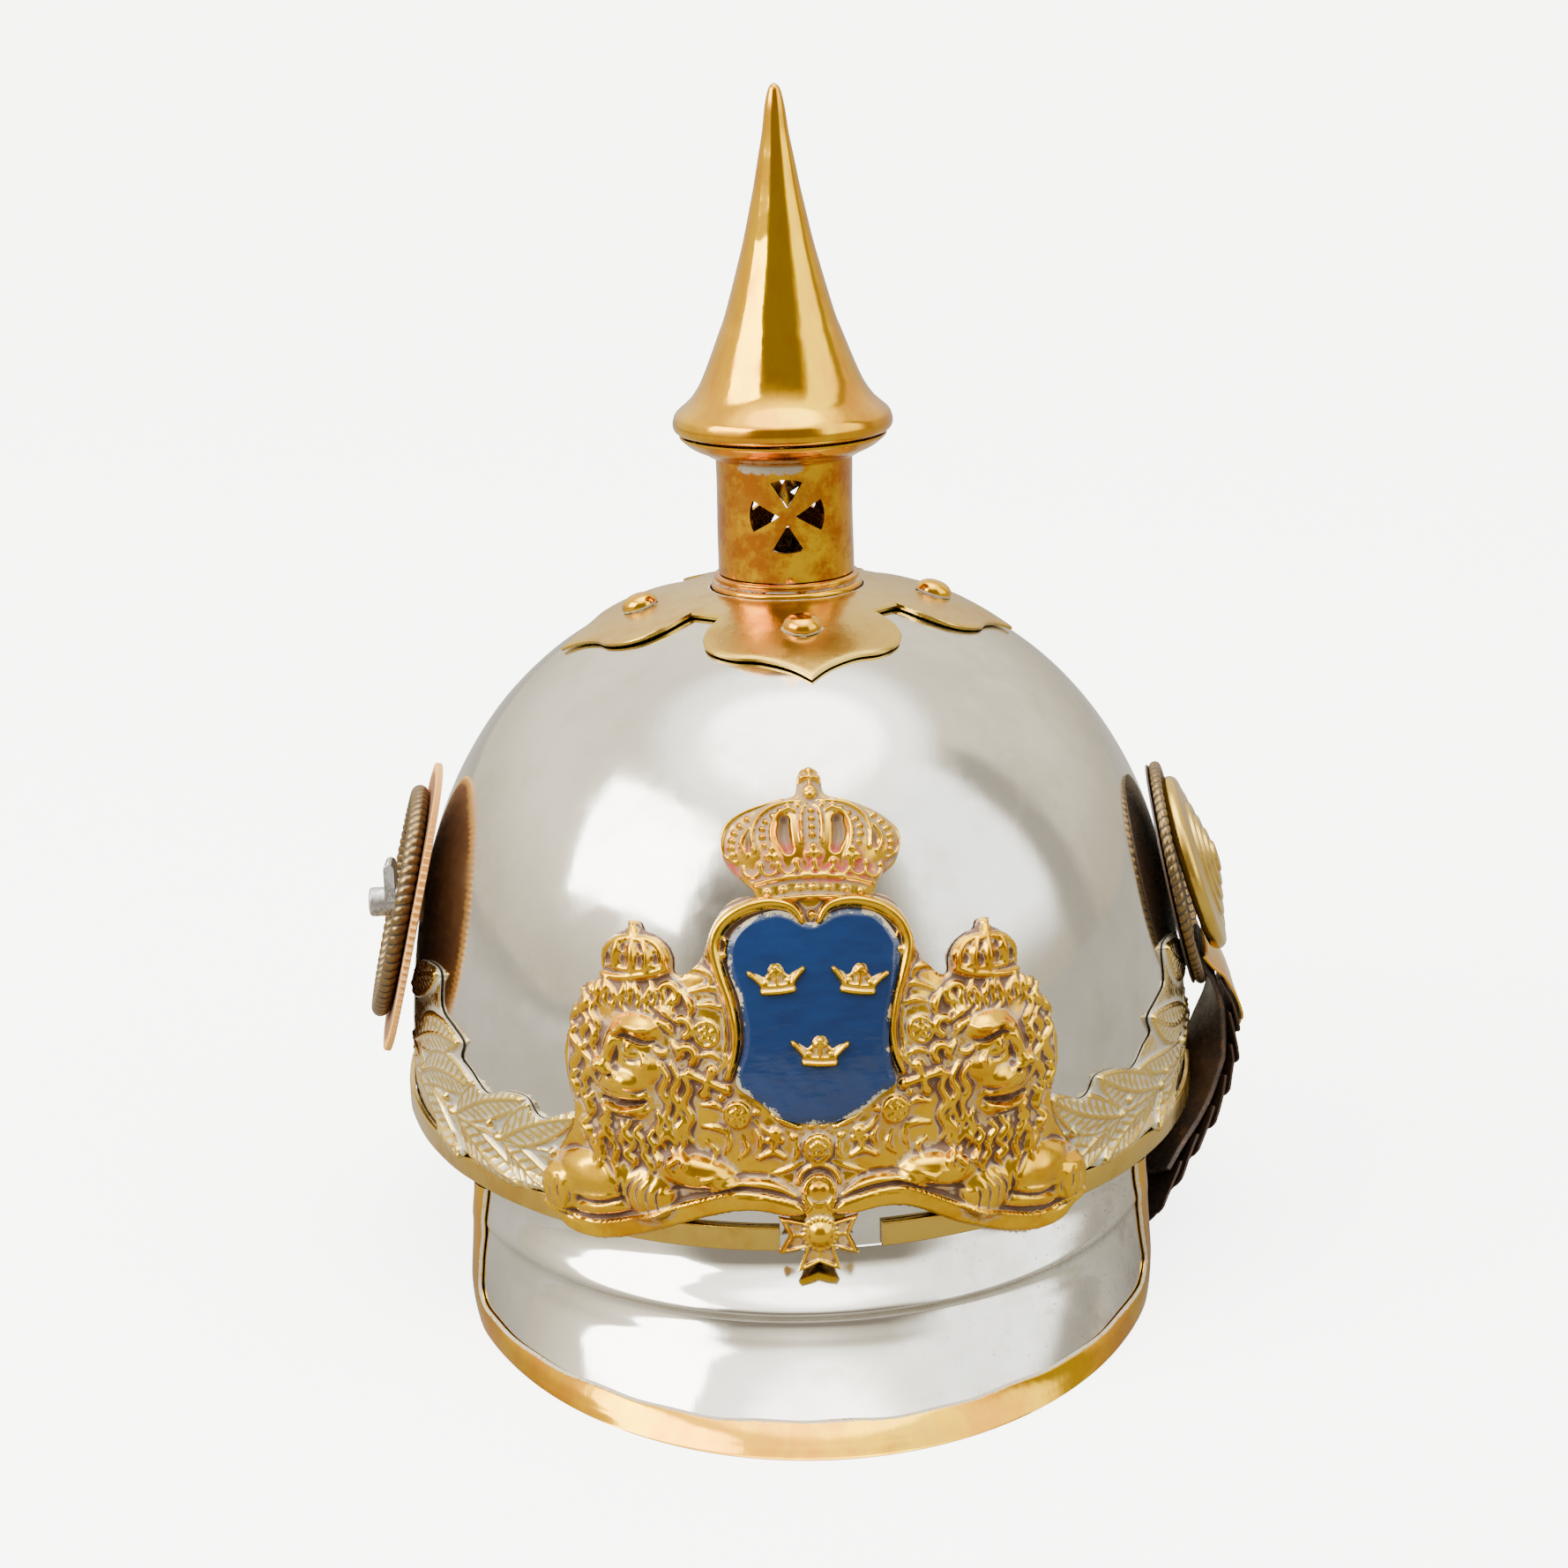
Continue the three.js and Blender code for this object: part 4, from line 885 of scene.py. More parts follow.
def make_post(foot):
    """Steel post with a drilled end, and an upright fin with a round top at its root."""
    start, radius = foot[0] - 4.8, POST["radius"]
    length = POST["reach"] + start
    profile = np.array([
        [0, 0], [radius, 0], [radius, length - 0.5], [radius - 0.5, length], [radius - 1.3, length],
        [radius - 1.5, length - 1.2], [0, length - 1.2],
    ])
    points, faces = turned(profile, 48, False)
    points = points[..., [2, 1, 0]] * [-1, 1, 1] + [start, foot[1], foot[2] + 1]
    fin_half = POST["fin_thickness"] / 2
    arc = np.linspace(0, np.pi, 13)
    top = [0, radius + POST["fin_rise"] - fin_half] + fin_half * np.stack([np.cos(arc), np.sin(arc)], axis=-1)
    outline = np.concatenate([[[fin_half, 0.5]], top, [[-fin_half, 0.5]]])
    y = np.array([[-0.5], [0.5]]) * POST["fin_width"]
    fin = np.stack(np.broadcast_arrays(outline[:, 0], y, outline[:, 1]), axis=-1)
    fin, fin_faces = tube(fin + [start - fin_half - 0.9, foot[1], foot[2] + 1])
    points = points.reshape(-1, 3)
    skin = (
        np.concatenate([points, fin.reshape(-1, 3)]),
        np.concatenate([faces, fin_faces + len(points)]),
    )
    make_piece("side_post", skin, STEEL, ["post_left"], bevel=0.25)


def make_left_fittings():
    """Leather washer, rope disc and bare post on the wearer's right side."""
    side = side_frame(-86, 49, 0, 2.3)
    base = 0.5
    top = base + LEATHER_DISC["thickness"] + GAP
    make_leather_washer(side, base)
    make_rope_disc("rope_rosette_left", ROPE_LEFT, top, side, "rope_disc_left")
    make_post(side[0])


def make_boss():
    """Stepped boss with a rolled rim over the strap's top end."""
    roll = np.linspace(-0.85 * np.pi, 0.5 * np.pi, 14)
    rim, rise = BOSS["rim"], BOSS["rise"]
    profile = [(0, rise - 1.4), (BOSS["radius"] - 4.6, 0.2)]
    profile += list(zip(BOSS["radius"] - rim + rim * np.cos(roll), rim * np.sin(roll)))
    hollow = [0.3, 0.3] + [0.2] * 14
    ring = np.linspace(0, 1, 7)[1:]
    for i in range(BOSS["steps"]):
        share = (i + ring) / BOSS["steps"]
        level = 2.0 + (rise - 2.0) * (i + 1) / BOSS["steps"]
        profile += list(zip(18.4 - 17.4 * share, level - 0.75 * (1 - np.sin(np.pi * ring) ** 0.7)))
        hollow += [0.3, 0.1, 0, 0.1, 0.4, 1.0]
    profile.append((0, rise))
    hollow.append(0)
    points, faces = turned(profile, 96, False)
    points[..., 2] += BOSS["stand_off"]
    skin = placed(points, *side_frame(82.3, 53, 1, 5)), faces
    marks = {"hollow": 0.9 * np.array(hollow)}
    make_piece("boss_dome", skin, SATIN_BRASS, ["boss_right"], marks)


def make_right_fittings():
    """Dark leather backing, rope disc and boss on the wearer's left side."""
    side = side_frame(82.3, 52, 1, 0)
    low, high = GAP + 0.2, GAP + 0.2 + BACKING_DISC["thickness"]
    bore, edge = POST["radius"], BACKING_DISC["radius"]
    profile = np.array([[bore, low], [edge, low], [edge, high], [edge * 0.6, high], [bore, high]])
    points, faces = turned(profile, 96)
    skin = placed(points, *side), faces
    make_piece("backing_washer", skin, DARK_LEATHER, ["backing_disc"], {"hollow": 0.2})
    make_rope_disc("rope_rosette_right", ROPE_RIGHT, high + GAP, side, "rope_disc_right")
    make_boss()


STRAP_LINE = smooth_line([
    (99.2, -14.2, 34.6), (100.7, -14.3, 31.6), (102.4, -14.5, 28.4), (103.3, -15, 25), (103.2, -16, 19),
    (101.4, -17.5, 11), (99.2, -20, 3.5), (96.4, -23.5, -3.8), (91.6, -28.5, -11), (86.6, -34, -17),
    (83.6, -37, -20),
], 12)
STRAP_PLACES = np.concatenate([[0], np.cumsum(np.linalg.norm(np.diff(STRAP_LINE, axis=0), axis=1))])
STRAP_LENGTH = STRAP_PLACES[-1]


def strap_middle(down):
    return np.stack([np.interp(down, STRAP_PLACES, STRAP_LINE[:, k]) for k in range(3)], axis=-1)


def strap_point(down, across, lift):
    """Place on the strap, by distance down and across it and height off its middle; it runs on straight."""
    clipped = np.clip(down, 0, STRAP_LENGTH)
    reach = np.clip(clipped, 1.5, STRAP_LENGTH - 1.5)
    tangent = unit(strap_middle(reach + 1.5) - strap_middle(reach - 1.5))
    turn = np.radians(np.interp(down, [10, 30], [-8, 24]))
    face = np.stack([np.cos(turn), np.sin(turn), 0 * turn], axis=-1)
    side = unit(np.cross(tangent, face))
    out = unit(np.cross(side, tangent))
    beyond = (down - clipped)[..., None]
    return strap_middle(clipped) + tangent * beyond + side * across[..., None] + out * lift[..., None]


def strap_width(down):
    share = np.clip(down / STRAP_LENGTH, 0, 1)
    return STRAP["top_width"] + (STRAP["end_width"] - STRAP["top_width"]) * share


def make_chin_scales():
    """Leather strap under overlapping scales; a scale is a lifted tongue with a lobed tip."""
    down = np.linspace(0, STRAP_LENGTH - 3, 60)[:, None]
    across = np.linspace(-0.5, 0.5, 15)[None, :] * (strap_width(down) - 2)
    down = down + 0 * across
    half = STRAP["thickness"] / 2
    skin = shell(strap_point(down, across, half + 0 * down), strap_point(down, across, -half + 0 * down))
    marks = {"hollow": 0.7}
    make_piece("strap_hide", skin, DARK_LEATHER, ["strap_leather"], marks, bevel=0.3)

    a = np.linspace(-1, 1, 49)[:, None]
    v = np.concatenate([np.linspace(0, 0.9, 12), [0.95, 1.0]])[None, :]
    for i in range(SCALES["count"]):
        lobes = 0.05 * np.abs(np.sin(1.5 * np.pi * a)) ** 0.8
        tip = 1 - 0.34 * (1 - np.sqrt(1 - (0.96 * a) ** 2)) + lobes * smooth_step(np.abs(a), 0.1, 0.4) - 0.05
        length = v * SCALES["length"] * tip * (1.4 if i == 0 else 1)
        start = i * SCALES["pitch"]
        place = start + length
        width = strap_width(place) + 0.5
        crown = 0.35 * np.sin(np.pi * np.clip(v, 0, 1)) * (1 - a * a)
        lift = half + GAP + 0.35 + SCALES["lift"] * length / SCALES["length"] - 0.3 * a * a + crown
        outer = strap_point(place, a * width / 2, lift + SCALES["sheet"])
        inner = strap_point(place, a * width / 2, lift + 0 * place)
        outside = 0.15 + 0.45 * smooth_step(np.abs(a), 0.75, 1) + 0 * v
        hollow = np.concatenate([outside * min(i, 1), np.full(outside.shape, 1.0)], axis=1)
        finish, slot = (BRASS, "brass") if i == 0 else (SCALE_BRASS, "aged_brass")
        name, node = f"scale_tongue_{i + 1}", f"chin_scale_{i + 1}"
        make_piece(name, shell(outer, inner), finish, [node], {"hollow": hollow}, bevel=0.12)


# ---------------------------------------------------------------- stamped relief


def blurred(field, radius):
    """Gaussian blur, in cells, by damping the field's waves."""
    waves = np.fft.rfft2(field)
    down = np.fft.fftfreq(field.shape[0])[:, None]
    across = np.fft.rfftfreq(field.shape[1])[None, :]
    return np.fft.irfft2(waves * np.exp(-2 * (np.pi * radius) ** 2 * (down**2 + across**2)), s=field.shape)


def nearest_on(path, s, v):
    """Distance from each place to a path of straight pieces, and how far along it the nearest point is."""
    start, span = path[:-1], np.diff(path, axis=0)
    from_s, from_v = s[..., None] - start[:, 0], v[..., None] - start[:, 1]
    t = np.clip((from_s * span[:, 0] + from_v * span[:, 1]) / np.maximum((span**2).sum(axis=1), 1e-9), 0, 1)
    distance = np.hypot(from_s - t * span[:, 0], from_v - t * span[:, 1])
    nearest = distance.argmin(axis=-1)[..., None]
    share = (nearest + np.take_along_axis(t, nearest, -1)) / len(span)
    return np.take_along_axis(distance, nearest, -1)[..., 0], share[..., 0]


class Relief:
    """
    Heights in millimetres over an even grid of distances across (s) and up (v) the skull's front: soft
    swellings, blurred together, with ridges and beads laid on them and grooves cut in.
    """

    def __init__(self, across, up, step):
        self.step = step
        self.corner = np.array([across[0], up[0]], float)
        s = np.arange(across[0], across[1] + step / 2, step)
        v = np.arange(up[0], up[1] + step / 2, step)
        self.s, self.v = np.meshgrid(s, v, indexing="ij")
        self.form, self.detail, self.cut = (np.zeros_like(self.s) for _ in range(3))

    def window(self, low, high):
        """Part of the grid between two corners."""
        first = np.maximum(((np.asarray(low) - self.corner) / self.step).astype(int), 0)
        last = np.maximum(((np.asarray(high) - self.corner) / self.step).astype(int) + 2, 0)
        return slice(first[0], last[0]), slice(first[1], last[1])

    def swell(self, centre, size, rise, turn=0.0, power=0.6):
        """Soft oval mass: rise times (1 - d^2) to a power, where d is 1 on the oval."""
        at = self.window(np.array(centre) - max(size), np.array(centre) + max(size))
        s, v = self.s[at] - centre[0], self.v[at] - centre[1]
        c, k = np.cos(np.radians(turn)), np.sin(np.radians(turn))
        distance = ((s * c + v * k) / size[0]) ** 2 + ((v * c - s * k) / size[1]) ** 2
        self.form[at] = np.maximum(self.form[at], rise * np.maximum(1 - distance, 0) ** power)

    def stroke(self, points, width, rise, ends):
        """A path's cross-section: rise times (1 - x^2)^0.75, narrowing towards its ends."""
        path = smooth_line(points, 5) if len(points) > 2 else np.asarray(points, float)
        at = self.window(path.min(axis=0) - width, path.max(axis=0) + width)
        distance, share = nearest_on(path, self.s[at], self.v[at])
        start, end = ends
        taper = start + (1 - start) * smooth_step(share, 0, 0.45)
        taper = taper * (end + (1 - end) * smooth_step(1 - share, 0, 0.45))
        height = rise * np.sqrt(taper) * np.maximum(1 - (2 * distance / (width * taper)) ** 2, 0) ** 0.75
        return at, height

    def ridge(self, points, width, rise, ends=(0.35, 0.35)):
        at, height = self.stroke(points, width, rise, ends)
        self.detail[at] = np.maximum(self.detail[at], height)

    def groove(self, points, width, depth, ends=(0.35, 0.35)):
        at, height = self.stroke(points, width, depth, ends)
        self.cut[at] = np.maximum(self.cut[at], height)

    def bead(self, centre, radius, rise=None):
        """Half ball, or a flatter dome of the rise given."""
        at = self.window(np.array(centre) - radius, np.array(centre) + radius)
        distance = np.hypot(self.s[at] - centre[0], self.v[at] - centre[1]) / radius
        dome = (rise or radius * 0.8) * np.sqrt(np.maximum(1 - distance**2, 0))
        self.detail[at] = np.maximum(self.detail[at], dome)

    def ring(self, centre, radius, width, rise, arc=(0, 360)):
        """Round ridge, or the stretch of it between two angles from +s towards +v."""
        angle = np.radians(np.linspace(*arc, 25))
        path = np.stack([centre[0] + radius * np.cos(angle), centre[1] + radius * np.sin(angle)], axis=-1)
        self.ridge(path, width, rise, (1, 1))

    def leaf(self, base, tip, half_width, bow):
        """Lens-shaped leaf laid over what is there: domed, with a raised rim, a midrib and slanting veins."""
        base, along = np.array(base, float), np.subtract(tip, base).astype(float)
        length = np.hypot(*along)
        reach = half_width + abs(bow)
        at = self.window(np.minimum(base, tip) - reach, np.maximum(base, tip) + reach)
        s, v = self.s[at] - base[0], self.v[at] - base[1]
        x = (s * along[0] + v * along[1]) / length
        t = np.clip(x / length, 0, 1)
        y = (v * along[0] - s * along[1]) / length + bow * np.sin(np.pi * t) * np.sign(along[0])
        width = half_width * np.sin(np.pi * t**0.9) ** 0.7 + 1e-3
        w = np.abs(y) / width
        rim = np.exp(-(((w - 0.88) * width / 0.42) ** 2))
        rib = np.exp(-((y / 0.38) ** 2))
        veins = 0.7 * np.maximum(np.cos(2 * np.pi * (x / 2.7 - np.abs(y) / 2.9)), 0) ** 4
        raised = np.maximum(np.maximum(rim, rib), veins * smooth_step(1 - w, 0.05, 0.25))
        inside = (x > 0) & (x < length) & (w < 1)
        self.detail[at] = np.where(inside, 0.35 + 0.6 * (1 - w * w) + 0.6 * raised, self.detail[at])

    def height(self, softness=0.7):
        fine = blurred(self.detail - self.cut, 0.22 / self.step)
        return blurred(self.form, softness / self.step) + fine

    def hollow(self, height):
        """How far a place lies below its surroundings, near and wide, from 0 on crests to 1 in hollows."""
        near = blurred(height, 0.45 / self.step) - height
        wide = blurred(height, 1.5 / self.step) - height
        return np.clip(0.41 + 2.0 * near + 0.55 * wide, 0, 1.5)


class Half:
    """One side of a relief, drawn as on the +s side, with ridges scaled; -1 mirrors it about the axis."""

    def __init__(self, relief, side, axis=0.0, width=1.0, rise=1.0):
        self.relief, self.side, self.axis, self.width, self.rise = relief, side, axis, width, rise

    def spot(self, s, v):
        return self.axis + self.side * (s - self.axis), v

    def swell(self, s, v, half_width, half_height, rise, turn=0.0, power=0.6):
        self.relief.swell(self.spot(s, v), (half_width, half_height), rise, self.side * turn, power)

    def ridge(self, points, width, rise, ends=(0.35, 0.35)):
        line = [self.spot(*point) for point in points]
        self.relief.ridge(line, self.width * width, self.rise * rise, ends)

    def groove(self, points, width, depth, ends=(0.35, 0.35)):
        self.relief.groove([self.spot(*point) for point in points], width, depth, ends)

    def bead(self, s, v, radius, rise=None):
        self.relief.bead(self.spot(s, v), radius, rise)

    def ring(self, s, v, radius, width, rise, arc=(0, 360)):
        turns = arc if self.side > 0 else (180 - arc[1], 180 - arc[0])
        self.relief.ring(self.spot(s, v), radius, width, rise, turns)


def divided(corners, count):
    """Closed outline with each straight stretch between corners split into count pieces."""
    stretches = zip(corners, np.roll(corners, -1, axis=0))
    return np.concatenate([np.linspace(a, b, count, endpoint=False) for a, b in stretches])


def cut_out(s, v, outlines, wrap=False, outside=False):
    """
    Even grid cut along closed outlines: cells whose centre lies inside are kept, and vertices on the
    border move to the nearest outline point. Gives the places, the kept vertices, the faces of a
    two-sided skin and each vertex's distance to the outline.
    """
    centre_s, centre_v = (0.25 * (g[1:, 1:] + g[1:, :-1] + g[:-1, 1:] + g[:-1, :-1]) for g in (s, v))
    keep = np.full(centre_s.shape, outside)
    distance = np.full(s.shape, 1e3)
    near_s, near_v = s.copy(), v.copy()
    for outline in outlines:
        for (s0, v0), (s1, v1) in zip(outline, np.roll(outline, -1, axis=0)):
            if v0 != v1:
                crossing = (s1 - s0) * (centre_v - v0) / (v1 - v0) + s0
                keep ^= ((v0 > centre_v) != (v1 > centre_v)) & (centre_s < crossing)
            ds, dv = s1 - s0, v1 - v0
            t = np.clip(((s - s0) * ds + (v - v0) * dv) / max(ds * ds + dv * dv, 1e-9), 0, 1)
            there = np.hypot(s - s0 - t * ds, v - v0 - t * dv)
            closer = there < distance
            distance = np.where(closer, there, distance)
            near_s = np.where(closer, s0 + t * ds, near_s)
            near_v = np.where(closer, v0 + t * dv, near_v)

    padded = np.pad(keep, ((1, 1), (0, 0)), mode="wrap" if wrap else "constant")
    padded = np.pad(padded, ((0, 0), (1, 1)))
    around = np.stack([padded[:-1, :-1], padded[1:, :-1], padded[:-1, 1:], padded[1:, 1:]])
    used = around.any(axis=0)
    border = used & ~around.all(axis=0) & (distance < 0.8 * abs(s[1, 0] - s[0, 0]))
    s, v = np.where(border, near_s, s), np.where(border, near_v, v)

    number = np.cumsum(used).reshape(used.shape) - 1
    count = int(used.sum())
    a, b, c, d = number[:-1, :-1], number[1:, :-1], number[1:, 1:], number[:-1, 1:]
    top = np.stack([a[keep], b[keep], c[keep], d[keep]], axis=-1)
    faces = [top, top[:, ::-1] + count]
    beyond = [
        (padded[:-2, 1:-1], a, d), (padded[2:, 1:-1], c, b),
        (padded[1:-1, :-2], b, a), (padded[1:-1, 2:], d, c),
    ]
    for neighbour, first, second in beyond:
        bare = keep & ~neighbour
        rim = [first[bare], second[bare]]
        faces.append(np.stack([*rim, rim[1] + count, rim[0] + count], axis=-1))
    return s[used], v[used], used, np.concatenate(faces), distance[used]


def mirrored(points, side):
    return [(side * s, v) for s, v in points]


def closed_line(points, per_span=4):
    return smooth_line(points, per_span, True)


def softened_edge(distance, drop, width=1.0):
    """A stamped sheet turns down towards its cut edge."""
    return -drop * (1 - smooth_step(distance, 0, width)) ** 2


def drawn_in(s, v, lift):
    """Outlines are drawn as seen from in front and above; raised work moves in along that line of sight."""
    return s * (1 - 0.0135 * lift), v + lift * (0.40 - 0.006 * v)


def two_sided(above, below):
    """A sheet's values above followed by those of its underside."""
    return np.concatenate([above, np.broadcast_to(below, above.shape)])


def relief_piece(name, relief, outlines, seat, ground, drop, finish, node, tilt=0.0):
    """
    Relief cut along its outlines, over a smooth underside. The underside lies off the skull by the seat
    heights that go with rising places up the skull, and tilt lowers the relief towards +s.
    """
    height = relief.height()
    hollow = relief.hollow(height)
    s, v, used, faces, distance = cut_out(relief.s, relief.v, outlines)
    low = np.interp(v, *seat)
    lift = low + ground + height[used] + softened_edge(distance, drop)
    mass = low + ground + blurred(height, 2.0 / relief.step)[used]
    s, v = drawn_in(s, v - tilt * smooth_step(s, 18, 34), mass)
    points = two_sided(front_point(s, v, np.maximum(lift, low + 0.25)), front_point(s, v, low))
    marks = {"hollow": two_sided(hollow[used], 1.0), "edge": two_sided(distance, distance)}
    make_piece(name, (points, faces), finish, [node], marks, crease=70)


PLATE_EDGE = [
    (0, 78.8), (8, 79.0), (14, 78.8), (17.5, 77.6), (20, 75), (22, 71), (24, 66), (26.2, 62.6),
    (29, 60.8), (31.2, 61.4), (31.4, 64.5), (33, 67.4), (36, 69.3), (38.2, 69.8), (38.9, 71.6),
    (41.6, 71.6), (42.2, 69.9), (45, 68), (47.6, 64.8), (48.6, 61), (49.6, 57.8), (53, 55.8), (55.8, 51),
    (57.6, 46), (58.8, 39), (58.6, 33), (57.2, 28.5), (57.4, 25), (59, 21.5), (62, 16.8), (65, 13.4),
    (67, 10), (67.3, 6), (65.6, 2.8), (62, 0.2), (58, -1.9), (52, -2.1), (45, -0.5), (38, 2.0), (31, 4.9),
    (25, 7.1), (19, 8.6), (13, 8.9), (8, 8.0), (4, 8.2), (0, 8.2),
]
FIELD_EDGE = [
    (-18, 69), (-14, 73.4), (-8, 75.6), (-4, 74.8), (-2, 73.4), (0.3, 72.8), (2, 73.4), (5, 74.9),
    (9, 75.4), (15, 73.8), (19, 68.5), (19.5, 65), (19, 60), (17.5, 54), (16.4, 47), (16.8, 41),
    (17.6, 37), (14, 34.5), (10, 31.5), (5, 29.5), (0, 29), (-5, 29.5), (-9, 31), (-12.5, 34), (-17, 37),
    (-17.4, 40), (-15.6, 46), (-15.4, 51), (-16.4, 57), (-18.4, 63),
]


def add_lion(r, side):
    """One crowned lion's head with its mane, arm and two paws; side -1 is the viewer's left."""
    half = Half(r, side, width=1.35, rise=1.25)

    # Masses: mane, chest, head, brow, nose, muzzle, cheek, jaw, arm, paws and inner leg.
    half.swell(43, 42, 17, 19, 3.0)
    half.swell(43, 24, 15, 12, 2.2)
    half.swell(42.5, 41.5, 9.8, 12.8, 4.6)
    half.swell(40.2, 48.6, 6.8, 3.9, 6.4, 0, 0.5)
    half.swell(46.7, 44.2, 2.2, 7.4, 7.0, 24, 0.5)
    half.swell(48.8, 39.4, 2.5, 2.7, 7.6, 0, 0.5)
    half.swell(44.6, 36.0, 6.6, 3.9, 6.6, 0, 0.5)
    half.swell(38.8, 39.4, 6.2, 4.4, 5.4, -20)
    half.swell(43.6, 30.0, 6.6, 2.4, 5.2)
    half.swell(52, 13.4, 10, 6.2, 3.6, -12, 0.42)
    half.swell(62.3, 8, 5.2, 6, 3.9, 0, 0.45)
    half.swell(51, 5.6, 8, 2.4, 2.4, -12)
    half.swell(28.6, 17.4, 11, 4.4, 4.6, 7, 0.5)
    half.swell(38.8, 11, 6.4, 6.6, 4.0, 0, 0.5)
    half.swell(40, 63.5, 8.6, 5.6, 2.6)
    half.swell(24.5, 45, 7, 18, 1.0)

    # Head crown: circlet, arches and the ball on top.
    half.ridge([(49, 59.2), (45, 58.9), (40.5, 59.3), (36, 60.4), (32.6, 61.8)], 1.5, 0.9, (0.8, 0.8))
    half.ridge([(47, 61), (41, 60.8), (35, 62.2)], 0.8, 0.5, (0.8, 0.8))
    for points in (
        [(48.2, 60.8), (48, 63.6), (45.6, 66.6), (41, 68.2)],
        [(45.2, 60.8), (44.8, 64), (43.4, 66.8), (40.8, 68.2)], [(40.8, 60.8), (40.6, 64.5), (40.5, 68)],
        [(37.2, 61.2), (36.9, 64.6), (38, 67), (40.2, 68.2)],
        [(33, 62.4), (32.8, 65.2), (35, 67.6), (39.6, 68.3)],
    ):
        half.ridge(points, 1.5, 1.0, (0.7, 0.6))
    for s, v in ((46.8, 62.8), (43, 62.8), (38.9, 62.9), (35, 63.7), (43, 66), (38.5, 66.2)):
        half.groove([(s, v - 1), (s, v + 1)], 1.5, 0.9, (0.6, 0.6))
    half.bead(40.3, 69.3, 1.5, 1.6)
    half.bead(40.2, 71, 0.9, 1.3)

    # Brow, eye, nose, cheek and mouth.
    half.ridge([(45.2, 47.4), (43.2, 48.9), (40, 48.5), (36.8, 48.8), (34.9, 49.8)], 1.5, 0.9, (0.6, 0.3))
    half.groove([(45.8, 46.2), (43.8, 46.6), (41, 46.0), (38.4, 45.5), (36.2, 46.2)], 1.5, 1.6)
    half.bead(42.4, 44.1, 1.1, 1.0)
    half.ridge([(44.5, 44.6), (42.6, 45.4), (40.6, 44.6), (39.2, 43.7)], 0.55, 0.6)
    half.ridge([(44.3, 43.1), (42.4, 42.5), (40.2, 43.1)], 0.55, 0.5)
    half.groove([(44.2, 41.8), (42, 41.2), (39.6, 41.9)], 1.0, 0.6)
    half.groove([(45.1, 44.6), (46.1, 41.8), (47, 40.2)], 1.5, 1.3)
    half.ridge([(48.8, 37.4), (47.4, 38.5), (46.1, 38.0), (45.8, 36.8)], 0.8, 0.8)
    half.groove([(48.1, 37.3), (47, 37.5)], 1.1, 1.4)
    half.ridge([(39.7, 43.5), (38.2, 41.8), (38.8, 40)], 1.2, 1.0)
    half.ridge([(36.6, 44.8), (34.4, 43.6), (32.8, 44.2)], 1.4, 1.1)
    half.groove([(45.4, 36.4), (44, 34.7), (40.6, 34.4), (38, 35.4)], 0.9, 0.8)
    upper_lip = [
        (50, 35.2), (48.8, 33.6), (45.4, 32.9), (41, 33.0), (38.4, 33.7), (37.1, 32.5), (37.3, 31),
        (38.8, 29.8),
    ]
    half.ridge(upper_lip, 0.9, 0.8, (0.5, 0.5))
    half.groove([(49.4, 31.9), (46, 31.4), (42, 31.5), (38.8, 32.3)], 1.2, 2.0, (0.6, 0.5))
    half.ridge([(48.6, 30.3), (45, 30.1), (41, 30.5), (38.9, 31.1)], 1.0, 0.8)
    half.groove([(48.2, 28.7), (44, 28.3), (40, 28.9)], 1.0, 0.9)

    # Mane: a fringe over the brow, wavy locks round the face and hooked curls beside the shield.
    for i in range(10):
        s, lean = 50.2 - 2.0 * i, 0.9 * np.sin(2.3 * i + 0.4)
        v = 55.6 + 0.7 * np.sin(1.9 * i) + 0.1 * i
        half.ridge([(s + lean, v - 1.7), (s - 0.8, v), (s - 0.5 - lean, v + 1.8)], 1.5, 1.2, (0.3, 0.7))
        half.ridge([(s - 1.1 - lean, v - 3.6), (s - 0.3, v - 2.5), (s - 1.2, v - 1.0)], 1.2, 0.8, (0.3, 0.7))
    chance = np.random.default_rng(11)

    def lock(s, v, length, width):
        """Wavy lock that hangs down from a root, each with its own sway."""
        sway = chance.uniform(0.5, 1.15) * chance.choice([-1, 1], p=[0.35, 0.65])
        slant = chance.uniform(-0.7, 0.5)
        points = [
            (s, v), (s + sway, v - 0.28 * length), (s + slant - 0.5 * sway, v - 0.62 * length),
            (s + 1.4 * slant + 0.6 * sway, v - length),
        ]
        half.ridge(points, width, chance.uniform(1.1, 1.6), (0.55, 0.2))

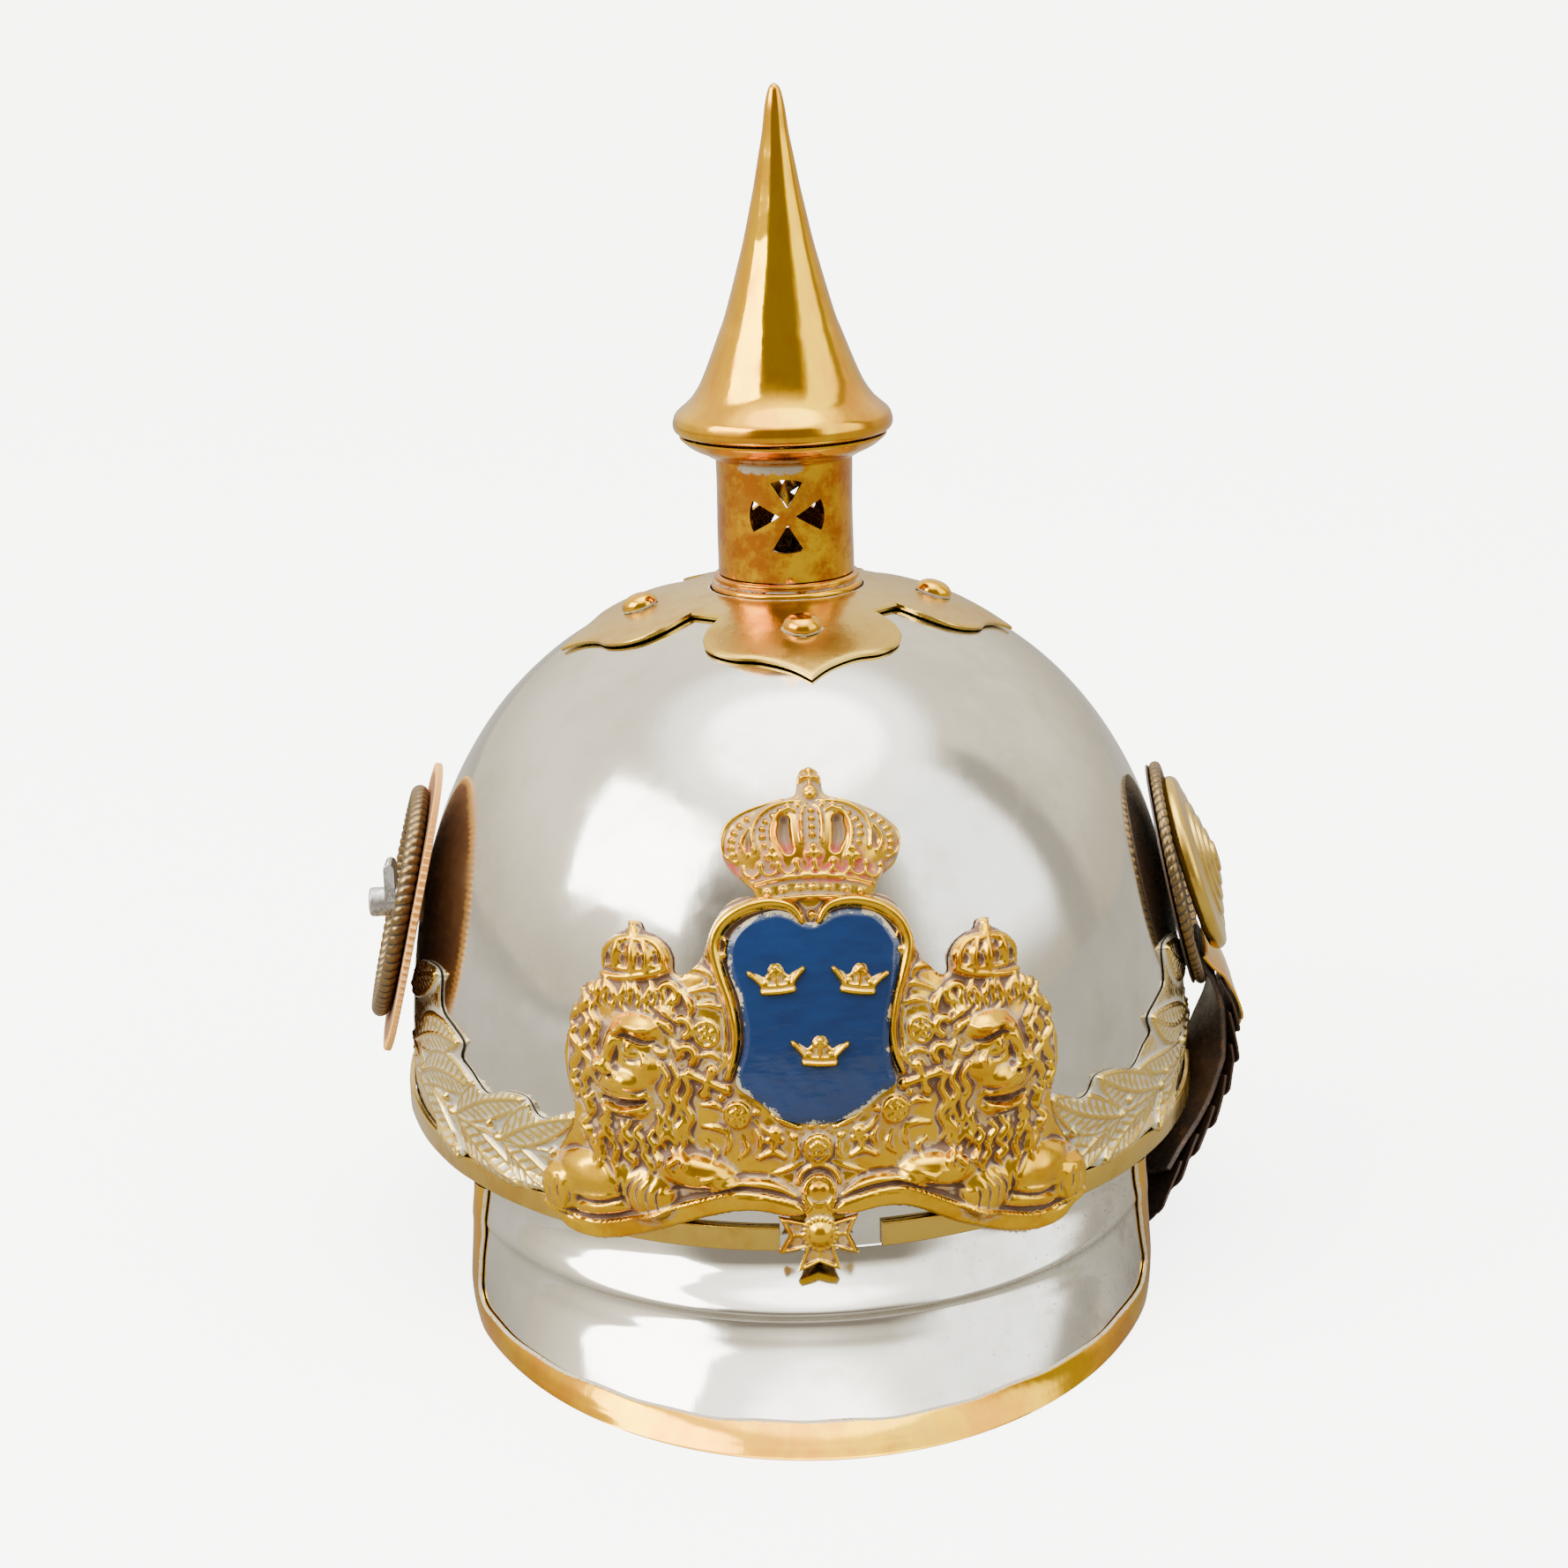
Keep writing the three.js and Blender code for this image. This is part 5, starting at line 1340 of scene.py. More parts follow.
    for column, top, count in ((51.2, 52.6, 3), (53.6, 54.4, 5), (56.2, 52.4, 4)):
        for i in range(count):
            lock(column + chance.uniform(-0.5, 0.5), top - 5.2 * i + chance.uniform(-0.9, 0.9),
                 chance.uniform(5.5, 8.5), chance.uniform(1.4, 2.0))
    half.ridge([(55.4, 54.6), (57.6, 50.6), (58.3, 45), (58.5, 38), (57.6, 31)], 1.1, 0.8)
    for points in (
        [(35.2, 53.2), (33, 52.6), (31.2, 50.8)], [(35, 50.8), (32.8, 49.6), (31.6, 47.6)],
        [(34.6, 41.2), (33.2, 38.4), (34.5, 35.4), (33, 32.4), (34.2, 29.2)],
        [(32.2, 41.4), (30.7, 38.2), (32, 35.2), (30.5, 32), (31.8, 28.8), (30.4, 25.8)],
        [(29.6, 39.4), (28.2, 36.2), (29.5, 33), (28, 29.8), (29, 26.6), (27.8, 24)],
        [(29, 57.4), (27.2, 54.6), (27.6, 52)], [(31.6, 46.2), (30, 44.4), (30.6, 42.4)],
    ):
        half.ridge(points, 1.8, 1.4, (0.5, 0.3))
    for s, v, size, start in (
        (32.2, 56.6, 2.0, 30), (29.2, 49.6, 1.8, 60), (28.4, 43.6, 1.8, 40), (52.4, 55.4, 1.5, 0),
    ):
        half.ring(s, v, size, 2.2, 1.7, (start, start + 190))
    for top, count in ((31.0, 9), (26.4, 10), (22.4, 8)):
        for i in range(count):
            across = 53.6 - 25.5 * (i + chance.uniform(0.1, 0.7)) / count
            if top < 30 or not 38 < across < 49:
                root = top + chance.uniform(-1.0, 1.0)
                lock(across, root, chance.uniform(5.0, 8.0), chance.uniform(1.5, 2.1))

    # Outer arm and paw: long toes with grooves between them, and the limb folded below.
    for points in (
        [(65.9, 10.4), (66.2, 6.6), (64.8, 3.2)], [(64, 11.4), (64.5, 7), (63, 3.2)],
        [(62, 11.6), (62.4, 7.6), (61, 4.4)],
    ):
        half.groove(points, 0.9, 1.0)
    half.groove([(59.6, 10), (59, 6.4), (60, 4)], 1.0, 0.8)
    half.ridge([(57.6, 8), (52, 8.2), (45, 10)], 1.5, 0.9, (0.4, 0.5))
    half.groove([(58, 6.6), (52, 6.8), (46, 8.4)], 1.0, 0.8)
    half.groove([(60.6, 3.4), (55, 3.0), (48, 4.3), (42.4, 6.0)], 1.1, 1.1)
    half.groove([(50, 18.6), (48, 16), (46.4, 12.6)], 1.2, 0.9)
    half.groove([(61, 16.8), (57.6, 18.6), (53.6, 19.2)], 1.0, 0.7)

    # Inner leg and paw.
    half.groove([(19, 14.4), (25, 13.6), (31, 13.4), (34.6, 12.4)], 1.1, 0.9)
    half.bead(25.4, 15.6, 0.9, 0.8)
    half.ridge([(22.6, 16.8), (24.8, 16.0), (27, 16.6)], 0.9, 0.7)
    for points in (
        [(40.8, 15.4), (43.9, 11.5), (43.4, 7)], [(38.8, 15.6), (41.8, 11.5), (41.2, 6.8)],
        [(37, 15), (39.5, 11.2), (38.8, 6.5)], [(35.6, 13.6), (37.1, 10.6), (36.4, 7)],
    ):
        half.groove(points, 0.9, 1.0)
    half.groove([(45.3, 14), (45.9, 10.6), (44.6, 7.2)], 1.2, 1.2)


def add_chain(r, side):
    """Collar of rosettes, crosses and bells hung round the shield on one side."""
    half = Half(r, side)

    def rosette(s, v, size):
        half.swell(s, v, size * 1.1, size * 1.1, 1.4, 0, 0.4)
        r.ring(half.spot(s, v), size * 0.8, 0.9, 0.9)
        for k in range(5):
            a = np.radians(72 * k + 18)
            half.bead(s + size * 0.42 * np.cos(a), v + size * 0.42 * np.sin(a), size * 0.24, 0.8)
        half.bead(s, v, size * 0.17, 0.9)

    rosette(23.8, 48.6, 3.3)
    rosette(17.4, 31, 3.2)
    tilt = np.radians(20)
    along, across = np.array([np.cos(tilt), np.sin(tilt)]), np.array([-np.sin(tilt), np.cos(tilt)])
    for arm in (4.4 * along, 2.8 * across):
        ends = [np.array([23.8, 38]) - arm, np.array([23.8, 38]) + arm]
        half.ridge(ends, 2.0, 1.5, (1, 1))
        for s, v in ends:
            half.bead(s, v, 1.35, 1.5)
    for points, width in (
        ([(29, 61), (25, 62.6), (22.2, 60.6), (24, 58)], 1.7),
        ([(27.4, 57.4), (22.6, 58.6), (20.2, 57)], 1.5),
        ([(27, 65.8), (24.2, 69.4), (21, 72.4), (18.6, 75.6)], 1.6), ([(23.4, 66.4), (21.8, 69)], 1.3),
        ([(25.6, 54.6), (22.4, 55), (19.4, 53.6)], 1.5), ([(26, 43.4), (23, 44.2), (20.2, 42.6)], 1.5),
        ([(20, 45.4), (19.2, 43.2), (20.4, 41)], 1.3), ([(25.6, 32.6), (22.4, 33), (20.6, 31.6)], 1.6),
        ([(25.4, 28), (21.8, 27.8), (19.6, 26.4)], 1.6),
        ([(24.4, 24.6), (22.4, 22.6), (23.4, 20.4)], 1.5),
        ([(19.8, 27.8), (19.2, 24.6), (20.2, 21.8)], 1.4),
        ([(16.6, 26.4), (15.4, 23.4), (17.2, 21)], 1.5), ([(13.4, 27.6), (12.2, 25.6), (13, 22.6)], 1.3),
        ([(13.6, 30), (11.2, 27.4), (8.8, 26.8)], 1.4),
    ):
        half.ridge(points, width, 1.1)
    half.bead(9.2, 27, 1.5, 1.3)
    half.bead(8, 25.4, 0.9, 1.1)
    half.bead(10.6, 25.4, 0.9, 1.1)
    half.ridge([(9.4, 25.6), (9.8, 23)], 1.7, 1.3, (0.8, 1))
    half.ridge([(7.4, 21.6), (9.9, 22.8), (12.8, 21.4)], 1.9, 1.3, (0.7, 0.7))
    for s, v in ((5.2, 26.2), (13.2, 31.6), (1.3, 28.6), (20.8, 34.6)):
        half.bead(s, v, 0.8, 1.0)
    half.ridge([(4.8, 25.6), (4.4, 22.6), (5.4, 20.6)], 1.3, 1.0)
    half.ridge([(3, 20.4), (6.4, 19), (11, 17.4)], 1.2, 0.9)


def add_frame_and_ribbon(r, side):
    """Scrolled ridge round the shield, leaves under it, and the ribbon that the paws rest on."""
    half = Half(r, side)
    line = [
        (2.0, 72.8), (2.8, 75.0), (5.2, 76.8), (10, 77.2), (15.6, 75.4), (19.8, 72.0), (21.6, 67.6),
        (20.6, 62.4), (18.4, 56), (17.2, 49), (17.8, 43.4), (19.2, 39.4),
    ]
    half.ridge(line, 3.7, 2.9, (0.6, 0.5))
    outer = [(s + 2.1, v + 0.8) for s, v in line[3:]]
    half.ridge(outer, 1.0, 0.9)
    half.ridge([(19.4, 66.2), (18.6, 68.4), (20, 70.6)], 1.4, 1.9)
    half.bead(19.2, 65.8, 1.1, 2.2)
    half.ridge([(9.6, 31.2), (7, 29.6), (3.6, 28.2)], 1.7, 1.5, (0.4, 0.4))
    half.groove([(8.8, 30.6), (6.6, 29.2), (4.4, 28.6)], 0.5, 0.7)
    centre = [
        (66, 3.4), (63, 1.2), (58, 0), (52, -0.1), (45, 1.7), (38, 4.2), (31, 7.1), (25, 9.3), (19, 10.8),
        (13, 10.9), (8.6, 10), (5, 8.9),
    ]
    half.swell(7, 10.5, 9, 3.5, 0.9)
    at, height = r.stroke([half.spot(*point) for point in centre], 5.6, 1.7, (0.5, 0.7))
    r.detail[at] = np.maximum(r.detail[at], np.minimum(height * 1.9, 1.5))
    top = [(s, v + 2.1) for s, v in centre[1:]]
    half.ridge(top, 1.0, 2.3, (0.5, 0.5))
    half.ridge([(24, 13.2), (17.4, 15.3), (12, 15.4), (8, 14.2), (5.4, 12.6)], 2.4, 1.7, (0.4, 0.4))
    half.groove([(24, 14.6), (17.4, 17.2), (11, 17.4), (6, 15.4)], 0.9, 0.6)


def make_front_plate():
    """Stamped plate: two lions, the shield's frame with its collar, and the ribbon along the bottom."""
    r = Relief((-68, 68), (-3, 80), 0.35)
    for side in (-1, 1):
        add_lion(r, side)
        add_chain(r, side)
        add_frame_and_ribbon(r, side)
    r.swell((0, 20), (17, 13), 0.8)
    r.swell((0, 76), (19, 5), 0.7)
    r.bead((0.4, 74.6), 1.0, 1.6)
    r.ring((0, 23.4), 2.9, 1.0, 1.1)
    r.swell((0, 23.4), (3.7, 3.7), 2.1, 0, 0.4)
    for k in range(5):
        a = np.radians(72 * k + 90)
        r.bead((1.45 * np.cos(a), 23.4 + 1.45 * np.sin(a)), 0.8, 0.8)
    r.ring((0, 15.3), 4.5, 1.3, 1.4, (5, 175))
    r.swell((0, 13.8), (4.5, 3.4), 2.0, 0, 0.4)
    r.ring((0, 13.8), 3.3, 0.8, 0.9)
    for side in (-1, 1):
        r.ring((0.9 * side, 14.2), 0.62, 0.5, 0.6)
        r.ridge([(3.4 * side, 12.0), (2.2 * side, 10.4), (3.0 * side, 8.6)], 1.3, 1.5, (0.6, 0.8))
    r.swell((0, 9.6), (3.2, 3.0), 1.6, 0, 0.4)
    half = np.array(PLATE_EDGE)
    edge = np.concatenate([half, (half * [-1, 1])[::-1][1:-1]])
    hole = (closed_line(FIELD_EDGE) - [0.3, 52]) * 0.96 + [0.3, 52]
    outlines = [closed_line(edge), hole]
    seat = [12, 18], [2 * GAP + BAND["thickness"], GAP]
    r.form += 0.12 * ripple(np.stack([r.s, r.v, 0 * r.s], axis=-1), 5, 21)
    name, node = "front_plate_relief", "front_plate"
    relief_piece(name, r, outlines, seat, 1.0, 0.7, STAMPED_BRASS, node, tilt=2.2)


def make_crown_badge():
    """Closed crown: beaded arches over a cap, scallops, a circlet with lozenges, and an orb with a cross."""
    r = Relief((-21.5, 22.5), (75, 109.5), 0.2)
    r.swell((0.6, 92), (20.5, 11.5), 3.6, 0, 0.5)
    r.swell((0.6, 83), (16, 8), 2.4, 0, 0.5)
    r.swell((1, 105), (3.0, 5), 2.2, 0, 0.4)
    for side in (-1, 1):
        half = Half(r, side, axis=1.0)
        outer = [(-12, 88.5), (-12.2, 92), (-11, 95.4), (-8.4, 97.9), (-5, 99.3), (-0.6, 99.9)]
        inner = [(-6.2, 86.6), (-7.6, 90), (-7.7, 93.4), (-6.4, 96.4), (-4, 97.8), (-2.4, 97.4)]
        rim = [
            (-15.6, 85.8), (-18.2, 87.4), (-18.8, 90.4), (-17.6, 94), (-14.4, 96.9), (-9.6, 99), (-5, 100.5),
        ]
        low = [(-13.6, 87.4), (-14.6, 89.6), (-14, 91.8), (-12.6, 93.6)]
        for points, width in ((outer, 1.0), (inner, 1.2), (rim, 0.8), (low, 0.9)):
            half.ridge(points, width, 1.1, (0.7, 0.6))
        for i in range(8):
            t = i / 7
            s = -9.3 - 1.0 * np.sin(np.pi * min(t * 1.6, 1)) + 7.6 * t**2.2
            half.bead(s, 89.6 + 9.3 * np.sin(t * 1.42), 0.72, 0.9)
        for i in range(6):
            t = i / 5
            half.bead(-16.6 - 0.6 * np.sin(np.pi * t) + 3.6 * t**2, 87.4 + 8.2 * t, 0.72, 0.9)
        half.groove([(-4.9, 95.2), (-5.1, 92), (-4.2, 88.8)], 3.3, 2.4, (0.8, 0.7))
        half.groove([(-12.9, 91), (-13, 88.6)], 1.2, 0.9, (0.6, 0.8))
        half.ridge([(-1.1, 90.4), (-1.3, 94), (-0.9, 97.4), (0.2, 99)], 0.9, 1.2, (0.8, 0.6))
    for v in (97.4, 95.5, 93.6, 91.8):
        r.bead((1.1, v), 0.75, 1.1)
    for s, v in (
        (-12.4, 84.6), (-8.5, 84.9), (-4.4, 85.2), (-0.4, 85.3), (3.6, 85.2), (7.4, 84.8), (11, 84.4),
        (14.4, 83.8),
    ):
        r.ring((s, v), 1.8, 0.8, 1.0, (175, 365))
        r.bead((s + 1.9, v + 0.6), 0.7, 1.0)
    for s, v in ((-7.8, 87.6), (1.3, 88.1), (10, 87.1)):
        for ds, dv in ((-0.95, -0.5), (0.95, -0.5), (0, 1.0)):
            r.bead((s + ds, v + dv), 0.95, 1.2)
        r.ridge([(s, v), (s, v - 2.6)], 1.0, 1.0, (0.8, 1))
    r.ridge([(-11.8, 81.2), (-6, 82.4), (1, 82.9), (8, 82.2), (14, 80.6)], 1.2, 1.2, (0.7, 0.7))
    r.ridge([(-11.2, 77.2), (-5.4, 78.0), (1, 78.3), (7.4, 77.8), (13, 76.8)], 1.2, 1.2, (0.7, 0.7))
    for s, v in ((-9, 79.4), (-5.6, 80), (-2, 80.4), (1, 80.5), (4.4, 80.3), (8, 79.8), (11.4, 79)):
        r.bead((s, v), 0.75, 0.7)
    r.bead((1.1, 101.9), 1.9, 1.9)
    r.groove([(-0.9, 101.9), (3.1, 101.9)], 0.4, 0.5, (1, 1))
    r.ridge([(1.1, 103.6), (1.1, 107.4)], 1.2, 1.1, (0.7, 1))
    r.ridge([(-0.8, 105.3), (3.0, 105.3)], 1.2, 1.1, (1, 1))
    for s, v in ((-0.9, 105.3), (3.1, 105.3), (1.1, 107.2)):
        r.bead((s, v), 0.95, 1.1)
    edge = closed_line([
        (-12, 79.6), (-15, 82.6), (-18, 85.6), (-19.4, 89.6), (-18.6, 94), (-14.6, 97.2), (-8.6, 99.8),
        (-3, 101.2), (-1.9, 103), (-1.5, 106.2), (-0.2, 108.2), (2.4, 108.2), (3.7, 106.2), (4.1, 103),
        (5.2, 101.2), (10.2, 99.3), (16, 96.4), (20, 92.6), (21, 88.8), (19.4, 84.6), (16, 82.2),
        (14.8, 79.6), (14, 76.6), (7, 77.2), (1, 77.6), (-5, 77.2), (-11.8, 76.6),
    ])
    seat = [0, 1], [GAP, GAP]
    relief_piece("crown_badge_relief", r, [edge], seat, 0.9, 0.5, CROWN_BRASS, "crown_badge")


def make_shield():
    """Domed enamel field with a faintly wavy surface."""
    s, v = np.meshgrid(np.arange(-20, 21, 0.33), np.arange(28, 78, 0.33), indexing="ij")
    s, v, _, faces, distance = cut_out(s, v, [closed_line(FIELD_EDGE, 10)])
    flat = np.stack([s, v, 0 * s], axis=-1)
    lift = FIELD_TOP - 0.4 * (1 - smooth_step(distance, 0, 1.6))
    lift = lift + 0.06 * ripple(flat, 9, 31) + 0.03 * ripple(flat, 3.5, 32)
    s, v = drawn_in(s, v, 3.0)
    points = two_sided(front_point(s, v, lift), front_point(s, v, 2 * GAP + 0.3 + 0 * s))
    marks = {"edge": two_sided(distance, distance)}
    make_piece("shield_enamel", (points, faces), ENAMEL, ["enamel_shield"], marks, crease=60)


def make_field_crowns():
    """Three small open crowns lying on the enamel, each turned a little."""
    half = [
        (3.1, 0.15), (3.5, 1.7), (4.5, 3.0), (5.8, 4.3), (5.5, 5.1), (4.4, 4.6), (3.4, 4.2), (2.5, 3.7),
        (1.8, 4.2), (1.5, 5.1), (0.8, 6.0),
    ]
    outline = np.array(half + [(0, 6.1)] + mirrored(half, -1)[::-1])
    r = Relief((-6.4, 6.4), (-0.6, 6.8), 0.12)
    r.ridge([(-3, 0.7), (0, 0.55), (3, 0.7)], 1.2, 0.8, (0.8, 0.8))
    r.ridge([(-3.2, 1.9), (0, 1.7), (3.2, 1.9)], 0.7, 0.6, (0.8, 0.8))
    for side in (-1, 1):
        half_crown = Half(r, side)
        half_crown.ridge([(2.8, 2), (3.8, 3.1), (5, 4.3)], 1.0, 0.8, (0.6, 0.9))
        for s, v, radius, rise in ((5.1, 4.4, 0.8, 0.9), (0.75, 4.4, 0.6, 0.8), (2.2, 2.6, 0.45, 0.6)):
            half_crown.bead(s, v, radius, rise)
    r.ridge([(0, 1.8), (0, 4.6)], 0.9, 0.8, (0.8, 1))
    r.bead((0, 5.2), 0.75, 1.0)
    height = r.height(0.2)
    s, v, used, faces, distance = cut_out(r.s, r.v, [closed_line(outline, 5)])
    hollow = r.hollow(height)[used]
    low = FIELD_TOP - 0.1 + 0 * s
    lift = low + 0.45 + height[used] + softened_edge(distance, 0.35, 0.5)
    marks = {"hollow": two_sided(hollow, hollow), "edge": two_sided(distance, distance)}
    for i, (across, up, turn) in enumerate([(-7.6, 57.4, 5), (9.8, 56.8, -9), (0.9, 41.6, -3)]):
        c, k = np.cos(np.radians(turn)), np.sin(np.radians(turn))
        place = drawn_in(across + 1.12 * (s * c - v * k), up + 1.12 * (s * k + v * c), 4.0)
        skin = two_sided(front_point(*place, lift), front_point(*place, low)), faces
        name, node = f"shield_crown_{i + 1}", f"field_crown_{i + 1}"
        make_piece(name, skin, STAMPED_BRASS, [node], marks, crease=60)


def make_star():
    """Order star: four swallow-tailed arms with raised borders, a beaded ring and a ball in the middle."""
    r = Relief((-10.6, 10.6), (-7, 12), 0.14)
    middle = np.array([0, 4])
    right = [(3.3, 6.6), (8.4, 8.0), (6.4, 3.7), (8.5, -0.9), (3.4, 0.8)]
    bottom = [(3.1, 0.2), (4.4, -4.6), (-0.4, -2.6), (-5.2, -4.7), (-3.3, 0.2)]
    left = [(-3.6, 0.8), (-9.3, -0.4), (-6.8, 3.7), (-9.1, 8.0), (-3.5, 6.6)]
    top = [(-3.0, 7.6), (-3.8, 11.4), (0, 10.6), (3.8, 11.4), (2.9, 7.6)]
    for arm in (right, bottom, left):
        for ends in zip(arm[:-1], arm[1:]):
            r.ridge((ends - middle) * 0.92 + middle, 1.1, 1.0, (0.8, 0.8))
        r.ridge([middle, (arm[2] - middle) * 0.9 + middle], 0.9, 0.6, (1, 0.6))
    for a in np.linspace(0, 2 * np.pi, 22, endpoint=False):
        r.bead((3.6 * np.cos(a), 4 + 3.6 * np.sin(a)), 0.42, 0.9)
    r.bead((0, 4), 2.9, 2.3)
    r.ring((0, 4), 3.0, 0.7, 0.8)
    height = r.height(0.3)
    s, v, used, faces, distance = cut_out(r.s, r.v, [divided(np.array(right + bottom + left + top), 6)])
    hollow = r.hollow(height)[used]
    lift = 1.1 + height[used] + softened_edge(distance, 0.5, 0.6)
    tilt, hang = np.radians(6), -SKULL["depth_ratio"] * SKULL["half_width"] - 3.9
    out = two_sided(lift, 0.0)
    s, v = two_sided(s, s), two_sided(v, v)
    y, z = hang - out * np.cos(tilt) + (v - 4) * np.sin(tilt), v + 1.6 + out * np.sin(tilt)
    skin = np.stack([s, y, z], axis=-1), faces
    marks = {"hollow": two_sided(hollow, hollow), "edge": two_sided(distance, distance)}
    make_piece("order_star_relief", skin, STAMPED_BRASS, ["order_star"], marks, crease=70)


LEAVES = [  # base, tip, half-width, sideways bow
    ((132, 33), (108, 44), 5.0, 1.5), ((134, 22), (112, 12), 5.0, -1.5),
    ((124, 23), (95.5, 32), 5.0, 2.2), ((120, 16), (96, 4.4), 5.0, -1.6),
    ((119, 17), (87.5, 22.4), 5.0, 3.0), ((97, 13.6), (72.6, 5.2), 4.8, -1.6),
    ((98, 14.4), (71.5, 26), 5.0, 1.6), ((79, 13.6), (60, 5.6), 4.4, -1.4),
    ((80, 14), (56, 25.4), 5.0, 1.4),
]
BERRIES = [(62.8, 15.6), (80.6, 14.4), (83.6, 16.8), (99.6, 14.4), (102.6, 16.8), (117, 18.6)]
LAUREL_EDGE = [
    (55.6, 26), (60, 25.4), (66, 22.6), (69, 23.2), (71.6, 26.3), (79, 25.6), (85, 23.2), (88, 23.6),
    (92, 26.4), (96.4, 28.2), (95.2, 32), (101, 34.2), (107, 36.4), (108, 44), (115, 44.4), (124, 42),
    (130, 36), (130, 22), (122, 14), (113, 10.6), (106, 5.2), (98, 3.6), (94, 6.0), (88, 5.4), (80, 4.6),
    (73, 4.4), (68, 5.8), (60, 5.2), (56, 9), (54.6, 16),
]


def make_laurels():
    """A stamped branch on each side: overlapping veined leaves along a stem, with berries between them."""
    stem = [(60, 16), (72, 14.8), (85, 14.2), (98, 14.2), (110, 16), (120, 20), (128, 27)]
    for side, hand, reach in ((-1, "right", (-131, -54)), (1, "left", (54, 131))):
        r = Relief(reach, (2, 46), 0.3)
        for base, tip, half_width, bow in LEAVES:
            r.leaf((side * base[0], base[1]), (side * tip[0], tip[1]), half_width, side * bow)
        r.ridge(mirrored(stem, side), 1.3, 1.5)
        for across, up in BERRIES:
            r.bead((side * across, up), 1.35, 2.0)
        seat = [6.5, 9], [2 * GAP + BAND["thickness"], GAP]
        name, node = f"laurel_branch_{hand}", f"laurel_{hand}"
        edge = closed_line(mirrored(LAUREL_EDGE, side))
        relief_piece(name, r, [edge], seat, 0.45, 0.2, LAUREL_METAL, node)


def sector(centre_turn):
    """Outline of one vent opening, unrolled from the neck: a fan with a flat-cut point."""
    turn = np.radians(np.linspace(-VENT["half_angle"], VENT["half_angle"], 9)) + centre_turn
    fan = np.stack([VENT["outer"] * np.cos(turn), VENT["outer"] * np.sin(turn)], axis=-1)
    tip = VENT["inner"] * np.array([[np.cos(centre_turn), np.sin(centre_turn)]])
    corners = divided(np.concatenate([tip, fan]), 8)
    unrolled = NECK["radius"] * np.arcsin(corners[:, 0] / NECK["radius"])
    return np.stack([unrolled, VENT["height"] + corners[:, 1]], axis=-1)


def make_neck():
    """Hollow neck: an unrolled cylinder with a cross of openings cut through its front and its back."""
    radius = NECK["radius"]
    around = 2 * np.pi * radius
    heights = np.linspace(NECK["bottom"], NECK["top"], 104)
    s, v = np.meshgrid(np.linspace(0, around, 361), heights, indexing="ij")
    holes = [sector(k * np.pi / 2) + [share * around, 0] for share in (0.125, 0.625) for k in range(4)]
    s, v, _, faces, _ = cut_out(s, v, holes, True, True)
    turn = s / radius - np.pi / 4
    dents = 0.10 * ripple(np.stack([np.cos(turn) * 16, np.sin(turn) * 16, v], axis=-1), 17, 41)
    radius = radius + dents
    points = two_sided(disc_places(radius, v, turn), disc_places(radius - NECK["wall"], v, turn))
    solder = smooth_step(v, 152.5, 156.5) * smooth_step(np.cos(turn + 0.25), 0.75, 0.95)
    hollow = two_sided(np.maximum(1.15 * solder, 0.7 * (1 - smooth_step(v, 129, 130))), 0.8)
    marks = {"hollow": hollow}
    make_piece("vent_neck_tube", (points, faces), BRASS, ["vent_neck"], marks, crease=50)


# ---------------------------------------------------------------- make everything
make_skull()
make_band()
make_guards()
make_cross_plate()
make_studs()
make_collar()
make_spike()
make_left_fittings()
make_right_fittings()
make_chin_scales()
make_neck()
make_front_plate()
make_crown_badge()
make_shield()
make_field_crowns()
make_star()
make_laurels()

# ---------------------------------------------------------------- floor, light and camera


def make_floor():
    """Pale, wide, level floor; straight to the eye it is a little brighter than in reflections."""
    size = 40.0
    mesh = bpy.data.meshes.new("studio_floor")
    corners = [(-size, -size, 0), (size, -size, 0), (size, size, 0), (-size, size, 0)]
    mesh.from_pydata(corners, [], [(0, 1, 2, 3)])
    floor = bpy.data.objects.new("studio_floor", mesh)
    bpy.context.scene.collection.objects.link(floor)

    def pale(n, place):
        seen = n.add("LightPath", {}, "Is Camera Ray")
        paper = n.mix(n.noise(place, 1.5), (0.88, 0.88, 0.865), (0.90, 0.90, 0.89))
        return {
            "Base Color": n.mix(seen, (0.22, 0.21, 0.19), paper),
            "Emission Color": n.mix(seen, (0, 0, 0), (1.0, 1.0, 0.985)),
        }

    mesh.materials.append(finish_named("Pale studio floor", pale, Roughness=0.9, Emission_Strength=4.2))


